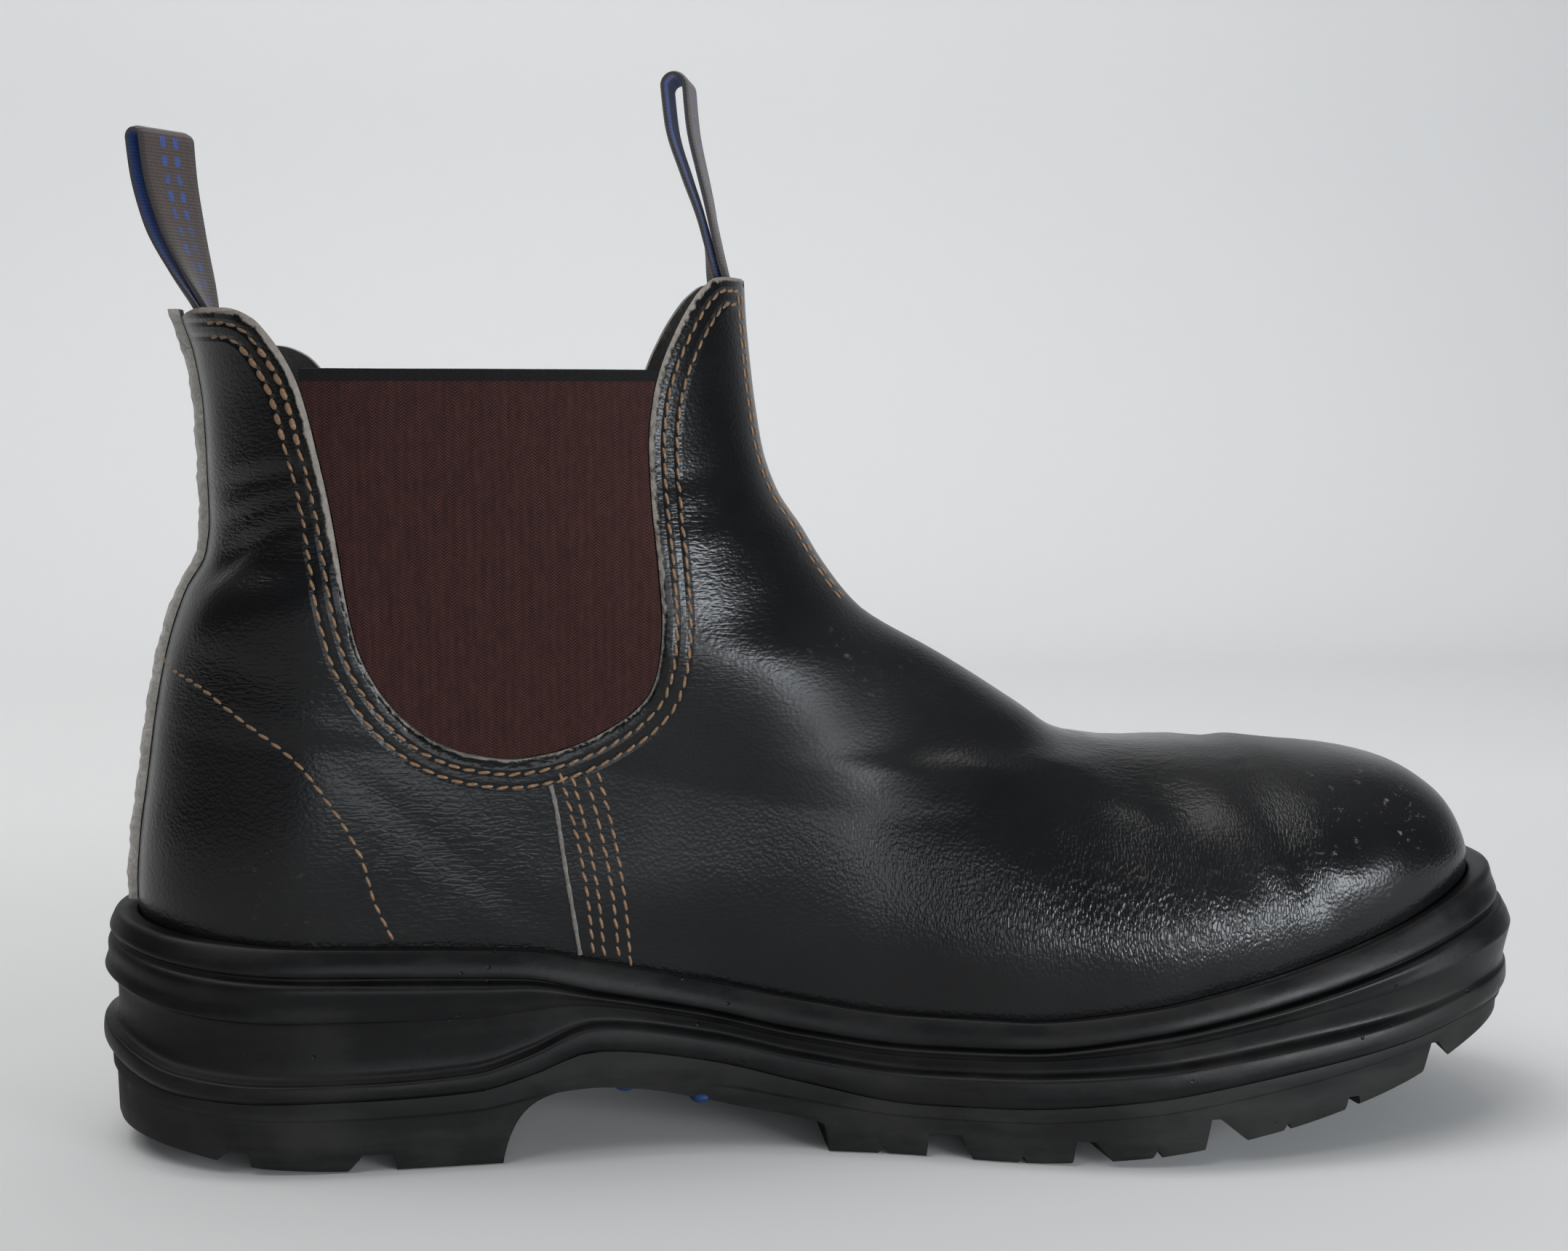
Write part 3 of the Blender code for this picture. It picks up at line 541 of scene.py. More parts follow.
class Graph:
    """A material's node graph with short calls for the nodes used here."""

    def __init__(self, name: str) -> None:
        """Makes the material and keeps its shader.

        Args:
            name: Name of the material.
        """
        self.material = bpy.data.materials.new(name)
        self.material.use_nodes = True
        self.tree = self.material.node_tree
        self.shader = self.tree.nodes["Principled BSDF"]

    def node(self, kind: str, inputs: dict | None = None, **values: str | bool) -> bpy.types.Node:
        """Adds a node.

        Args:
            kind: Node type without its ShaderNode prefix.
            inputs: Socket name or number to a value or another socket.
            values: Properties of the node.

        Returns:
            The node.
        """
        made = self.tree.nodes.new("ShaderNode" + kind)
        for key, value in values.items():
            setattr(made, key, value)
        for key, value in (inputs or {}).items():
            if isinstance(value, bpy.types.NodeSocket):
                self.tree.links.new(value, made.inputs[key])
            else:
                made.inputs[key].default_value = value
        return made

    def math(self, operation: str, a: Input, b: Input = 0.0, c: Input = 0.0) -> Socket:
        """One Math node's result."""
        return self.node("Math", {0: a, 1: b, 2: c}, operation=operation).outputs[0]

    def place(self, scale: Triple = (1.0, 1.0, 1.0), turn: Triple = (0.0, 0.0, 0.0)) -> Socket:
        """Object coordinates, turned in degrees and scaled.

        Args:
            scale: Scale along each axis.
            turn: Turn about each axis.

        Returns:
            The vector.
        """
        where = self.node("TexCoord").outputs["Object"]
        inputs = {"Vector": where, "Rotation": tuple(map(math.radians, turn)), "Scale": scale}
        return self.node("Mapping", inputs).outputs[0]

    def warped(self, scale: Triple, turn: float, amount: float) -> Socket:
        """Object coordinates turned about Y in degrees, scaled and pushed about by noise.

        Args:
            scale: Scale along each axis.
            turn: Turn about Y.
            amount: Size of the push.

        Returns:
            The vector.
        """
        push = self.node("TexNoise", {"Scale": 170, "Detail": 2.0, "Vector": self.place()}).outputs["Color"]
        inputs = {0: push, 1: (amount,) * 3, 2: self.place(scale, (0, turn, 0))}
        return self.node("VectorMath", inputs, operation="MULTIPLY_ADD").outputs[0]

    def axes(self) -> list[Socket]:
        """Object coordinates as separate X, Y and Z."""
        return self.node("SeparateXYZ", {0: self.node("TexCoord").outputs["Object"]}).outputs

    def value(self, name: str) -> Socket:
        """A vertex number written by the piece."""
        return self.node("Attribute", attribute_name=name).outputs["Fac"]

    def noise(self, scale: float, detail: float = 4.0, rough: float = 0.5, where: Socket | None = None,
              warp: float = 0.0) -> Socket:
        """Noise from 0 to 1.

        Args:
            scale: Noise per metre.
            detail: Octaves.
            rough: Share of the fine octaves.
            where: Vector to read it at.
            warp: Distortion.

        Returns:
            The noise.
        """
        inputs = {"Scale": scale, "Detail": detail, "Roughness": rough, "Distortion": warp,
                  "Vector": where if where is not None else self.place()}
        return self.node("TexNoise", inputs).outputs["Fac"]

    def cells(self, scale: float, where: Socket | None = None, feature: str = "F1") -> Socket:
        """Distance to the nearest of scattered points."""
        inputs = {"Scale": scale, "Vector": where if where is not None else self.place()}
        return self.node("TexVoronoi", inputs, feature=feature).outputs["Distance"]

    def ramp(self, fac: Socket, stops: tuple[tuple[float, float], ...]) -> Socket:
        """Colours along a ramp.

        Args:
            fac: Place on the ramp.
            stops: Places and their greys.

        Returns:
            The colour.
        """
        made = self.node("ValToRGB", {0: fac})
        points = made.color_ramp.elements
        while len(points) < len(stops):
            points.new(0.5)
        for point, (at, grey) in zip(points, stops):
            point.position = at
            point.color = (grey, grey, grey, 1.0)
        return made.outputs[0]

    def mix(self, fac: Input, a: Socket | Colour, b: Socket | Colour) -> Socket:
        """One of two colours, or a share of both.

        Args:
            fac: Share of the second.
            a: First colour.
            b: Second colour.

        Returns:
            The colour.
        """
        made = self.node("Mix", data_type="RGBA")
        for key, value in ((0, fac), (6, a), (7, b)):
            if isinstance(value, bpy.types.NodeSocket):
                self.tree.links.new(value, made.inputs[key])
            else:
                made.inputs[key].default_value = value if key == 0 else (*value, 1.0)
        return made.outputs[2]

    def range(self, value: Input, low: float, high: float, to_low: float, to_high: float) -> Socket:
        """Maps a range of numbers onto another, clamped."""
        inputs = {0: value, 1: low, 2: high, 3: to_low, 4: to_high}
        return self.node("MapRange", inputs, clamp=True).outputs[0]

    def bump(self, height: Socket, distance: float, strength: float = 1.0,
             under: Socket | None = None) -> Socket:
        """A bump normal, on top of another one.

        Args:
            height: Height from 0 to 1.
            distance: Height in metres.
            strength: Share of the effect.
            under: Normal that it starts from.

        Returns:
            The normal.
        """
        inputs = {"Height": height, "Distance": distance, "Strength": strength}
        if under is not None:
            inputs["Normal"] = under
        return self.node("Bump", inputs).outputs[0]

    def set(self, **sockets: Input | Colour) -> bpy.types.Material:
        """Links or sets the shader's sockets, named with underscores, and returns the material.

        Args:
            sockets: Values or other sockets by name.

        Returns:
            The material.
        """
        for key, value in sockets.items():
            socket = self.shader.inputs[key.replace("_", " ")]
            if isinstance(value, bpy.types.NodeSocket):
                self.tree.links.new(value, socket)
            else:
                socket.default_value = (*value, 1.0) if isinstance(value, tuple) else value
        return self.material


@dataclass(frozen=True)
class LeatherFinish:
    """Near-black satin leather with pebbled grain, fine wrinkles, stitch furrows and pale raw edges."""

    black: Colour = (0.0036, 0.0037, 0.0041)
    worn: Colour = (0.0085, 0.0084, 0.0086)
    scuff_and_sheen_colour: Colour = (0.12, 0.105, 0.09)
    flesh: tuple[Colour, Colour] = ((0.09, 0.08, 0.068), (0.30, 0.265, 0.23))
    rough: float = 0.26
    wrinkles: tuple[tuple[str, Triple, float, float], ...] = (
        ("upright", (1500, 420, 520), 16, 0.00010), ("level", (190, 380, 1100), -16, 0.00007),
        ("slant", (210, 380, 1000), 38, 0.00006))
    furrows: tuple[tuple[float, float], ...] = (
        (0.0, 0.35), (0.08, 0.9), (0.20, 1.0), (0.28, 0.45), (0.36, 0.95), (0.47, 0.95), (0.55, 0.45),
        (0.64, 0.95), (1.0, 1.0))

    def make(self, name: str) -> bpy.types.Material:
        """Builds the material.

        Args:
            name: Name of the material.

        Returns:
            The material.
        """
        g = Graph(name)
        cloud = g.noise(22, 5, 0.6)
        fine = g.noise(700, 3, 0.6)
        # pale scuff marks: wear, and on the toe top they also serve as a painted sheen
        scuff_and_sheen = g.noise(380, 7, 0.68, g.place((1.0, 1.0, 1.8), (0, 25, 0)), 0.3)
        scuff_and_sheen = g.math("MULTIPLY", g.range(scuff_and_sheen, 0.60, 0.68, 0, 1), g.value("scuff_and_sheen"))
        colour = g.mix(g.range(cloud, 0.40, 0.75, 0, 0.5), self.black, self.worn)
        colour = g.mix(g.math("MULTIPLY", scuff_and_sheen, 0.8), colour, self.scuff_and_sheen_colour)
        torn = g.math("MULTIPLY", g.math("SUBTRACT", g.noise(420, 4, 0.7), 0.5), 1.5)
        raw = g.range(g.math("ADD", g.value("raw"), torn), -0.10, 0.25, 0, 1)
        colour = g.mix(raw, colour, g.mix(g.noise(900, 6, 0.7), *self.flesh))
        rough = g.range(cloud, 0.3, 0.8, self.rough - 0.07, self.rough + 0.10)
        for place, more in ((scuff_and_sheen, 0.3), (raw, 0.4), (g.value("dull"), 0.28)):
            rough = g.math("ADD", rough, g.math("MULTIPLY", place, more))
        grain = g.cells(1150, g.place((1, 1, 1.15)))
        grain = g.math("ADD", g.math("MULTIPLY", grain, 0.8), g.math("MULTIPLY", g.noise(520, 5, 0.65), 0.8))
        normal = g.bump(grain, 0.00008, 0.7)
        for name, scale, turn, depth in self.wrinkles:
            crack = g.range(g.cells(1.0, g.warped(scale, turn, 1.6), "DISTANCE_TO_EDGE"), 0.0, 0.24, 0, 1)
            crack = g.math("SUBTRACT", crack, g.math("MULTIPLY", g.noise(120, 3, 0.6), 0.5))
            crack = g.math("MULTIPLY", crack, g.value(name))
            normal = g.bump(crack, depth, 0.9, normal)
        furrow = g.ramp(g.math("DIVIDE", g.value("edge"), 10.0), self.furrows)
        normal = g.bump(furrow, 0.0006, 0.9, normal)
        normal = g.bump(fine, 0.00003, 0.4, normal)
        return g.set(Base_Color=colour, Roughness=rough, Normal=normal, Specular_IOR_Level=0.28,
                     Coat_Weight=0.0)


@dataclass(frozen=True)
class SuedeFinish:
    """Fibrous raw leather: cut edges and the flesh side seen inside the collar."""

    dark: Colour
    pale: Colour

    def make(self, name: str) -> bpy.types.Material:
        """Builds the material.

        Args:
            name: Name of the material.

        Returns:
            The material.
        """
        g = Graph(name)
        fibre = g.noise(800, 8, 0.75, None, 0.8)
        cloud = g.noise(45, 4, 0.6)
        colour = g.mix(g.range(fibre, 0.3, 0.7, 0, 1), self.dark, self.pale)
        colour = g.mix(g.range(cloud, 0.4, 0.75, 0, 0.45), colour, tuple(0.6 * c for c in self.dark))
        return g.set(Base_Color=colour, Roughness=0.92, Normal=g.bump(fibre, 0.0005, 0.8), Sheen_Weight=0.25)


@dataclass(frozen=True)
class ElasticFinish:
    """Dark maroon ribbed elastic with upright columns, a fine knit with painted light and shade, and a black
    selvage.
    """

    shaded_maroon: Colour = (0.0085, 0.0028, 0.0026)
    lit_maroon: Colour = (0.088, 0.031, 0.026)
    wale: float = 0.00068
    course: float = 0.00062
    column: float = 0.0018
    selvage: float = 0.0024

    def make(self, name: str) -> bpy.types.Material:
        """Builds the material.

        Args:
            name: Name of the material.

        Returns:
            The material.
        """
        g = Graph(name)
        x, _, z = g.axes()[:3]
        sway = g.math("MULTIPLY", g.math("SUBTRACT", g.noise(35, 2), 0.5), 0.0006)
        x = g.math("ADD", x, sway)
        turn = 2 * math.pi
        half = g.math("MULTIPLY", g.math("SINE", g.math("MULTIPLY", x, turn / (2 * self.wale))), 1.1)
        knit = g.math("MULTIPLY", g.math("SINE", g.math("MULTIPLY", x, turn / self.wale)),
                      g.math("SINE", g.math("ADD", g.math("MULTIPLY", z, turn / self.course), half)))
        knit = g.range(knit, -1, 1, 0, 1)
        column = g.range(g.math("SINE", g.math("MULTIPLY", x, turn / self.column)), -1, 1, 0, 1)
        thread = g.noise(1.0, 5, 0.65, g.place((900, 300, 330)))
        tone = g.math("ADD", g.math("MULTIPLY", knit, 0.60), g.math("MULTIPLY", column, 0.05))
        tone = g.math("ADD", tone, g.math("MULTIPLY", g.math("SUBTRACT", thread, 0.5), 0.45))
        # painted light and shade: the knit's raised loops are coloured lighter and its gaps darker, following
        # the bump's height; the thread noise is the yarn's own tone
        colour = g.mix(g.range(tone, 0.1, 0.95, 0, 1), self.shaded_maroon, self.lit_maroon)
        top = FORM.seat_height + FORM.gore_height - self.selvage
        band = g.range(z, top - 0.0001, top + 0.0002, 0, 1)
        colour = g.mix(band, colour, (0.006, 0.006, 0.006))
        height = g.math("ADD", g.math("MULTIPLY", knit, 0.8), g.math("MULTIPLY", column, 0.2))
        return g.set(Base_Color=colour, Roughness=0.9, Normal=g.bump(height, 0.00022, 0.9),
                     Specular_IOR_Level=0.2)


@dataclass(frozen=True)
class TapeFinish:
    """Woven pull tape: fine cross ribs, darker selvages and, outside, two plain rows of woven dashes."""

    ground: Colour
    mark: Colour | None = None
    rib: float = 0.0007

    def make(self, name: str) -> bpy.types.Material:
        """Builds the material.

        Args:
            name: Name of the material.

        Returns:
            The material.
        """
        g = Graph(name)
        u, v = g.value("tape_run"), g.value("tape_across")
        weave, warp = (g.range(g.math("SINE", g.math("MULTIPLY", way, 2 * math.pi / pitch)), -1, 1, 0, 1)
                       for way, pitch in ((u, self.rib / MM), (v, 0.55)))
        fibre = g.noise(900, 5, 0.7)
        tone = g.math("ADD", g.math("MULTIPLY", warp, 0.2), g.math("MULTIPLY", fibre, 0.45))
        tone = g.math("ADD", g.math("MULTIPLY", weave, 0.35), tone)
        dark, pale = (tuple(share * c for c in self.ground) for share in (0.35, 1.35))
        colour = g.mix(g.range(tone, 0.15, 0.85, 0, 1), dark, pale)
        if self.mark:
            dash = g.math("GREATER_THAN", g.math("SINE", g.math("MULTIPLY", u, 2 * math.pi / 3.6)), -0.25)
            for centre in (-1.9, 1.9):
                near = g.math("LESS_THAN", g.math("ABSOLUTE", g.math("SUBTRACT", v, centre)), 0.75)
                fray = g.range(g.noise(480, 3, 0.6), 0.36, 0.5, 0, 0.9)
                worn = g.math("MULTIPLY", g.math("MULTIPLY", near, dash), fray)
                colour = g.mix(worn, colour, self.mark)
        selvage = g.range(g.math("ABSOLUTE", v), 6.9, 7.4, 0, 0.7)
        colour = g.mix(selvage, colour, (0.010, 0.010, 0.011))
        return g.set(Base_Color=colour, Roughness=0.85, Normal=g.bump(tone, 0.00018, 0.8), Sheen_Weight=0.2)


@dataclass(frozen=True)
class ThreadFinish:
    """Tan waxed sewing thread with a two-ply twist."""

    pale: Colour = (0.235, 0.130, 0.060)
    dark: Colour = (0.075, 0.041, 0.021)

    def make(self, name: str) -> bpy.types.Material:
        """Builds the material.

        Args:
            name: Name of the material.

        Returns:
            The material.
        """
        g = Graph(name)
        ply = g.noise(1500, 3, 0.6)
        colour = g.mix(g.range(ply, 0.3, 0.7, 0, 1), self.dark, self.pale)
        return g.set(Base_Color=colour, Roughness=0.62, Normal=g.bump(ply, 0.00012, 0.7), Sheen_Weight=0.1)


@dataclass(frozen=True)
class RubberFinish:
    """Moulded black rubber or foam with faint mottling, small air pits coloured darker as painted shade, and
    dust in patches.
    """

    black: Colour = (0.0040, 0.0040, 0.0042)
    dust: Colour = (0.034, 0.032, 0.029)
    rough: float = 0.44
    dusty: float = 0.3
    pits: float = 0.5
    shine: float = 0.16

    def make(self, name: str) -> bpy.types.Material:
        """Builds the material.

        Args:
            name: Name of the material.

        Returns:
            The material.
        """
        g = Graph(name)
        cloud = g.noise(38, 6, 0.62)
        smear = g.noise(1.0, 5, 0.6, g.place((30, 60, 190)))
        dust = g.math("ADD", g.math("MULTIPLY", cloud, 0.55), g.math("MULTIPLY", smear, 0.45))
        dust = g.math("MULTIPLY", g.range(dust, 0.45, 0.72, 0, 1), self.dusty)
        colour = g.mix(dust, self.black, self.dust)
        some = g.range(g.noise(60, 2), 0.56, 0.60, 0, self.pits)
        shaded_pit = g.math("MULTIPLY", g.range(g.cells(260), 0.05, 0.12, 1, 0), some)
        # painted shade: the air pits are coloured near black
        colour = g.mix(shaded_pit, colour, (0.002, 0.002, 0.002))
        normal = g.bump(g.noise(850, 5, 0.65), 0.00010, 0.5)
        normal = g.bump(g.math("MULTIPLY", shaded_pit, -1.0), 0.0005, 0.8, normal)
        normal = g.bump(g.noise(70, 3, 0.5), 0.0006, 0.35, normal)
        rough = g.range(cloud, 0.3, 0.8, self.rough - 0.08, self.rough + 0.10)
        rough = g.math("ADD", rough, g.math("MULTIPLY", dust, 0.6))
        return g.set(Base_Color=colour, Roughness=rough, Normal=normal, Specular_IOR_Level=self.shine)


@dataclass(frozen=True)
class FeltFinish:
    """Footbed cloth over foam, rubbed paler in patches."""

    cloth: Colour = (0.055, 0.053, 0.055)

    def make(self, name: str) -> bpy.types.Material:
        """Builds the material.

        Args:
            name: Name of the material.

        Returns:
            The material.
        """
        g = Graph(name)
        weave = g.noise(1300, 4, 0.7)
        rub = g.noise(24, 4, 0.6)
        colour = g.mix(weave, tuple(0.45 * c for c in self.cloth), tuple(1.7 * c for c in self.cloth))
        colour = g.mix(g.range(rub, 0.5, 0.75, 0, 0.5), colour, (0.13, 0.12, 0.11))
        return g.set(Base_Color=colour, Roughness=0.95, Normal=g.bump(weave, 0.0003, 0.7), Sheen_Weight=0.3)


# The pieces


@dataclass(frozen=True)
class Fold:
    """One soft crease of the leather: a trough between low ridges, in the side view.

    Sizes are in millimetres and degrees. Depth below zero makes a ridge.
    """

    x: float
    z: float
    turn: float
    reach: float
    wide: float
    depth: float
    bend: float = 0.0
    sides: tuple[Side, ...] = (Side.INNER,)

    def height(self, x: np.ndarray, z: np.ndarray) -> np.ndarray:
        """Height of the crease at points of the side view, in metres.

        Args:
            x: Places along the boot.
            z: Heights.

        Returns:
            Heights, outwards.
        """
        c, s = math.cos(math.radians(self.turn)), math.sin(math.radians(self.turn))
        dx, dz = x / MM - self.x, z / MM - self.z
        along, across = c * dx + s * dz, -s * dx + c * dz
        t = (across + self.bend * along ** 2 / max(self.reach, 1)) / self.wide
        fade = np.exp(-(along / self.reach) ** 4)
        return -self.depth * MM * (1 - 0.6 * t ** 2) * np.exp(-t ** 2 / 2) * fade


@dataclass(frozen=True)
class Zone:
    """An oval patch of the side view with wrinkles, scuffs that partly serve as painted sheen, or a duller
    face, in millimetres and degrees.
    """

    x: float
    z: float
    wide: float
    high: float
    amount: float
    turn: float = 0.0

    def strength(self, x: np.ndarray, z: np.ndarray) -> np.ndarray:
        """Amount at points of the side view.

        Args:
            x: Places along the boot.
            z: Heights.

        Returns:
            Amounts.
        """
        c, s = math.cos(math.radians(self.turn)), math.sin(math.radians(self.turn))
        dx, dz = x / MM - self.x, z / MM - self.z
        along, across = (c * dx + s * dz) / self.wide, (-s * dx + c * dz) / self.high
        return self.amount * np.exp(-along ** 2 - across ** 2)


BOTH = (Side.INNER, Side.OUTER)
FOLDS = (
    Fold(12, 84, 80, 20, 9, 0.30, 0.05, BOTH),
    Fold(58, 78, -34, 17, 4.5, 0.9, -0.12, BOTH),
    Fold(66, 71, -40, 17, 5.0, -0.45, -0.12, BOTH),
    Fold(72, 66, -52, 15, 4.0, 0.7, -0.10, BOTH),
    Fold(82, 68, -62, 15, 4.0, -0.35, -0.10, BOTH),
    Fold(90, 66, -72, 17, 3.2, 0.85, -0.08, BOTH),
    Fold(98, 67, -74, 14, 4.5, -0.45, -0.05, BOTH),
    Fold(44, 60, -62, 13, 4.0, 0.45, 0.0),
    Fold(55, 54, -70, 11, 3.0, 0.40, 0.0),
    Fold(-116, 137, 14, 16, 1.9, 0.85, 0.10, BOTH),
    Fold(-114, 132, 20, 15, 1.8, 0.80, 0.12, BOTH),
    Fold(-113, 127, 26, 13, 1.9, 0.65, 0.14, BOTH),
    Fold(-124, 121, 22, 12, 5.0, 0.8, 0.05, BOTH),
    Fold(-118, 112, 8, 20, 8.0, -0.9, 0.0, BOTH),
    Fold(-102, 97, -12, 22, 2.5, 0.30, 0.0),
    Fold(-98, 92, -14, 22, 2.2, 0.28, 0.0),
    Fold(-78, 66, -36, 26, 2.6, 0.20, 0.0),
    Fold(-74, 60, -38, 24, 2.4, 0.20, 0.0),
    Fold(-70, 54, -40, 20, 2.4, 0.18, 0.0),
    Fold(-6, 108, -28, 16, 4.0, 0.15, 0.0, BOTH),
    Fold(-26, 138, 8, 9, 2.0, 0.30, 0.0),
    Fold(-25, 130, 10, 9, 2.2, 0.28, 0.0),
    Fold(54, 59, 5, 44, 11, 0.9, 0.0),
)
ZONES = {
    "upright": (Zone(64, 52, 26, 13, 1.0), Zone(92, 66, 9, 13, 0.9), Zone(38, 50, 20, 10, 0.6),
                Zone(4, 62, 16, 10, 0.35)),
    "level": (Zone(-112, 132, 17, 15, 1.0, 14), Zone(-112, 97, 24, 8, 0.75), Zone(-28, 128, 12, 20, 0.55),
              Zone(-26, 96, 14, 14, 0.35)),
    "slant": (Zone(-78, 62, 26, 20, 0.9, -35), Zone(10, 96, 22, 12, 0.5), Zone(66, 74, 18, 8, 0.8, -30),
              Zone(-14, 116, 10, 12, 0.6)),
    # scuff patches: wear, and the toe patch also serves as a painted sheen
    "scuff_and_sheen": (Zone(110, 66, 14, 10, 1.3), Zone(-2, 98, 16, 7, 0.5), Zone(60, 50, 30, 8, 0.5),
              Zone(-100, 60, 30, 16, 0.2)),
    "dull": (Zone(4, 90, 17, 18, 1.0), Zone(96, 74, 14, 7, 0.6)),
}


class LeatherUpper:
    """The leather upper: a fine wall with creases, cut along the collar and round both gores."""

    lump: float = 0.10 * MM
    rolled: float = 0.65 * MM

    def __init__(self, form: BootForm, rings: int = 104, side_points: int = 165) -> None:
        """Keeps the form and how fine the wall is."""
        self.form, self.rings, self.side_points = form, rings, side_points

    def creased(self, points: np.ndarray) -> np.ndarray:
        """Outward move of the leather at points of its outer face.

        Args:
            points: Points, one row each.

        Returns:
            Distances outwards.
        """
        x, z = points[:, 0], points[:, 2]
        side = points[:, 1] - self.form.centre(x)
        share = {Side.INNER: ease(0.5 - side / (10 * MM)), Side.OUTER: ease(0.5 + side / (10 * MM))}
        move = sum(fold.height(x, z) * sum(share[s] for s in fold.sides) for fold in FOLDS)
        waves = ((1.0, 130, 90), (2.1, -70, 170), (4.4, 210, -60))
        lump = sum(math.sin(a) * np.sin(x * fx + z * fz + a) for a, fx, fz in waves)
        foot = ease((z - self.form.line("feather", x)) / (8 * MM))
        foot = foot * ease((x - self.form.back_x(z)) / (9 * MM))
        return (move + self.lump * lump) * foot

    def sheet(self) -> tuple[np.ndarray, np.ndarray]:
        """Outer points of the wall, ring by ring, and their normals.

        Returns:
            The points and normals, by ring.
        """
        levels = np.linspace(0, 1, self.rings) ** 1.25
        grid = np.stack([self.form.ring(level, self.side_points) for level in levels])
        normal = self.normals(grid)
        flat = grid.reshape(-1, 3)
        grid = grid + (normal.reshape(-1, 3) * self.creased(flat)[:, None]).reshape(grid.shape)
        return grid, self.normals(grid)

    def normals(self, grid: np.ndarray) -> np.ndarray:
        """Outward unit normals of a closed grid of points.

        Args:
            grid: Points by ring.

        Returns:
            The normals, by ring.
        """
        rings, around = grid.shape[:2]
        mesh = bpy.data.meshes.new("sheet")
        mesh.from_pydata(grid.reshape(-1, 3).tolist(), [], ring_faces(rings, around))
        flat = np.empty(3 * len(mesh.vertices))
        mesh.vertices.foreach_get("normal", flat)
        bpy.data.meshes.remove(mesh)
        normal = flat.reshape(grid.shape)
        for tip in (0, around // 2):
            mean = normal[:, (tip + 4) % around] + normal[:, tip - 4]
            mean /= np.linalg.norm(mean, axis=1)[:, None]
            for near in range(-3, 4):
                normal[:, (tip + near) % around] = mean
        return normal if normal[rings // 2, around // 4, 1] < 0 else -normal

    def wall(self) -> bpy.types.Object:
        """The closed wall before its collar is cut.

        Returns:
            The wall as an object.
        """
        outer, normal = self.sheet()
        inner = outer - normal * self.form.leather
        rings, around = outer.shape[:2]
        count = rings * around
        faces = ring_faces(rings, around) + [f[::-1] for f in ring_faces(rings, around, count)]
        for ring in (0, rings - 1):
            a = ring * around
            faces += [(a + i, a + (i + 1) % around, count + a + (i + 1) % around, count + a + i)
                      for i in range(around)]
        points = np.concatenate([outer.reshape(-1, 3), inner.reshape(-1, 3)])
        made = mesh_object("leather_upper", points, faces)
        inside = np.zeros(len(made.data.polygons), np.int32)
        inside[(rings - 1) * around:] = 1
        made.data.polygons.foreach_set("material_index", inside)
        return made

    def cutter(self, raw: bpy.types.Material) -> bpy.types.Object:
        """The prism above the collar's edge, in the raw leather that its cut shows.

        Args:
            raw: Finish of the cut.

        Returns:
            The prism as an object.
        """
        reach, above = self.form.ball_width, self.form.seat_height + 1.6 * self.form.upper_rise
        rows = []
        for share in (-1.0, -0.2, 0.2, 1.0):
            y, edge = share * reach, self.form.collar(0, Side.INNER if share < 0 else Side.OUTER)
            line = [(edge[0, 0], above), *map(tuple, edge), (edge[-1, 0], above)]
            rows.append([(x, y, z) for x, z in line])
        count = len(rows[0])
        faces = ring_faces(4, count) + [tuple(range(count)), tuple(range(4 * count - 1, 3 * count - 1, -1))]
        tool = mesh_object("collar_cut", np.array(rows).reshape(-1, 3), faces)
        tool.data.materials.append(raw)
        return tool

    def write_attributes(self, piece: bpy.types.Object) -> None:
        """Writes where furrows, raw edges, wrinkles, scuffs with some painted sheen and dull places lie.

        Args:
            piece: The upper.
        """
        points = positions(piece)
        x, z = points[:, 0], points[:, 2]
        flat = points[:, [0, 2]]
        is_inner = points[:, 1] < self.form.centre(x)
        edge = np.where(is_inner, distance_to(flat, self.form.collar(0, Side.INNER, 3)),
                        distance_to(flat, self.form.collar(0, Side.OUTER, 3))) / MM
        attribute(piece, "edge", np.minimum(edge, 12))
        rear = ease((-88 * MM - x) / (10 * MM)) * ease((z - 110 * MM) / (20 * MM))
        front = ease((x + 60 * MM) / (10 * MM)) * ease((z - 100 * MM) / (20 * MM))
        attribute(piece, "raw", 0.35 + 0.65 * rear + 0.45 * front - np.minimum(edge, 12))
        for name, zones in ZONES.items():
            attribute(piece, name, sum(zone.strength(x, z) for zone in zones))

    def soften_edge(self, piece: bpy.types.Object) -> None:
        """Rolls the outer corner of the cut edge inwards a little.

        Args:
            piece: The upper.
        """
        points = positions(piece)
        flat = points[:, [0, 2]]
        for side in Side:
            near = distance_to(flat, self.form.collar(0, side, 6)) < 0.02 * MM
            near &= (points[:, 1] > 0) == (side is Side.OUTER)
            surface, normal = self.form.point(side, points[:, 0], points[:, 2])
            near &= np.abs(points[:, 1] - surface[:, 1]) < 1.2 * MM
            points[near] -= self.rolled * normal[near]
        piece.data.vertices.foreach_set("co", points.ravel())
        piece.data.update()

    def build(self) -> bpy.types.Object:
        """Makes the upper and dresses it.

        Returns:
            The finished piece.
        """
        raw = SuedeFinish((0.11, 0.095, 0.08), (0.30, 0.265, 0.23)).make("Raw leather edge")
        lining = SuedeFinish((0.010, 0.009, 0.0085), (0.034, 0.030, 0.027)).make("Leather lining")
        piece = self.wall()
        piece.data.materials.append(LeatherFinish().make("Black leather"))
        piece.data.materials.append(lining)
        cut(piece, self.cutter(raw))
        self.soften_edge(piece)
        self.write_attributes(piece)
        smooth_shade(piece, 50)
        return belongs(piece, "leather_black", "upper")


@dataclass(frozen=True)
class Thread:
    """Size of one sewn stitch."""

    pitch: float = 3.0 * MM
    length: float = 2.8 * MM
    radius: float = 0.30 * MM


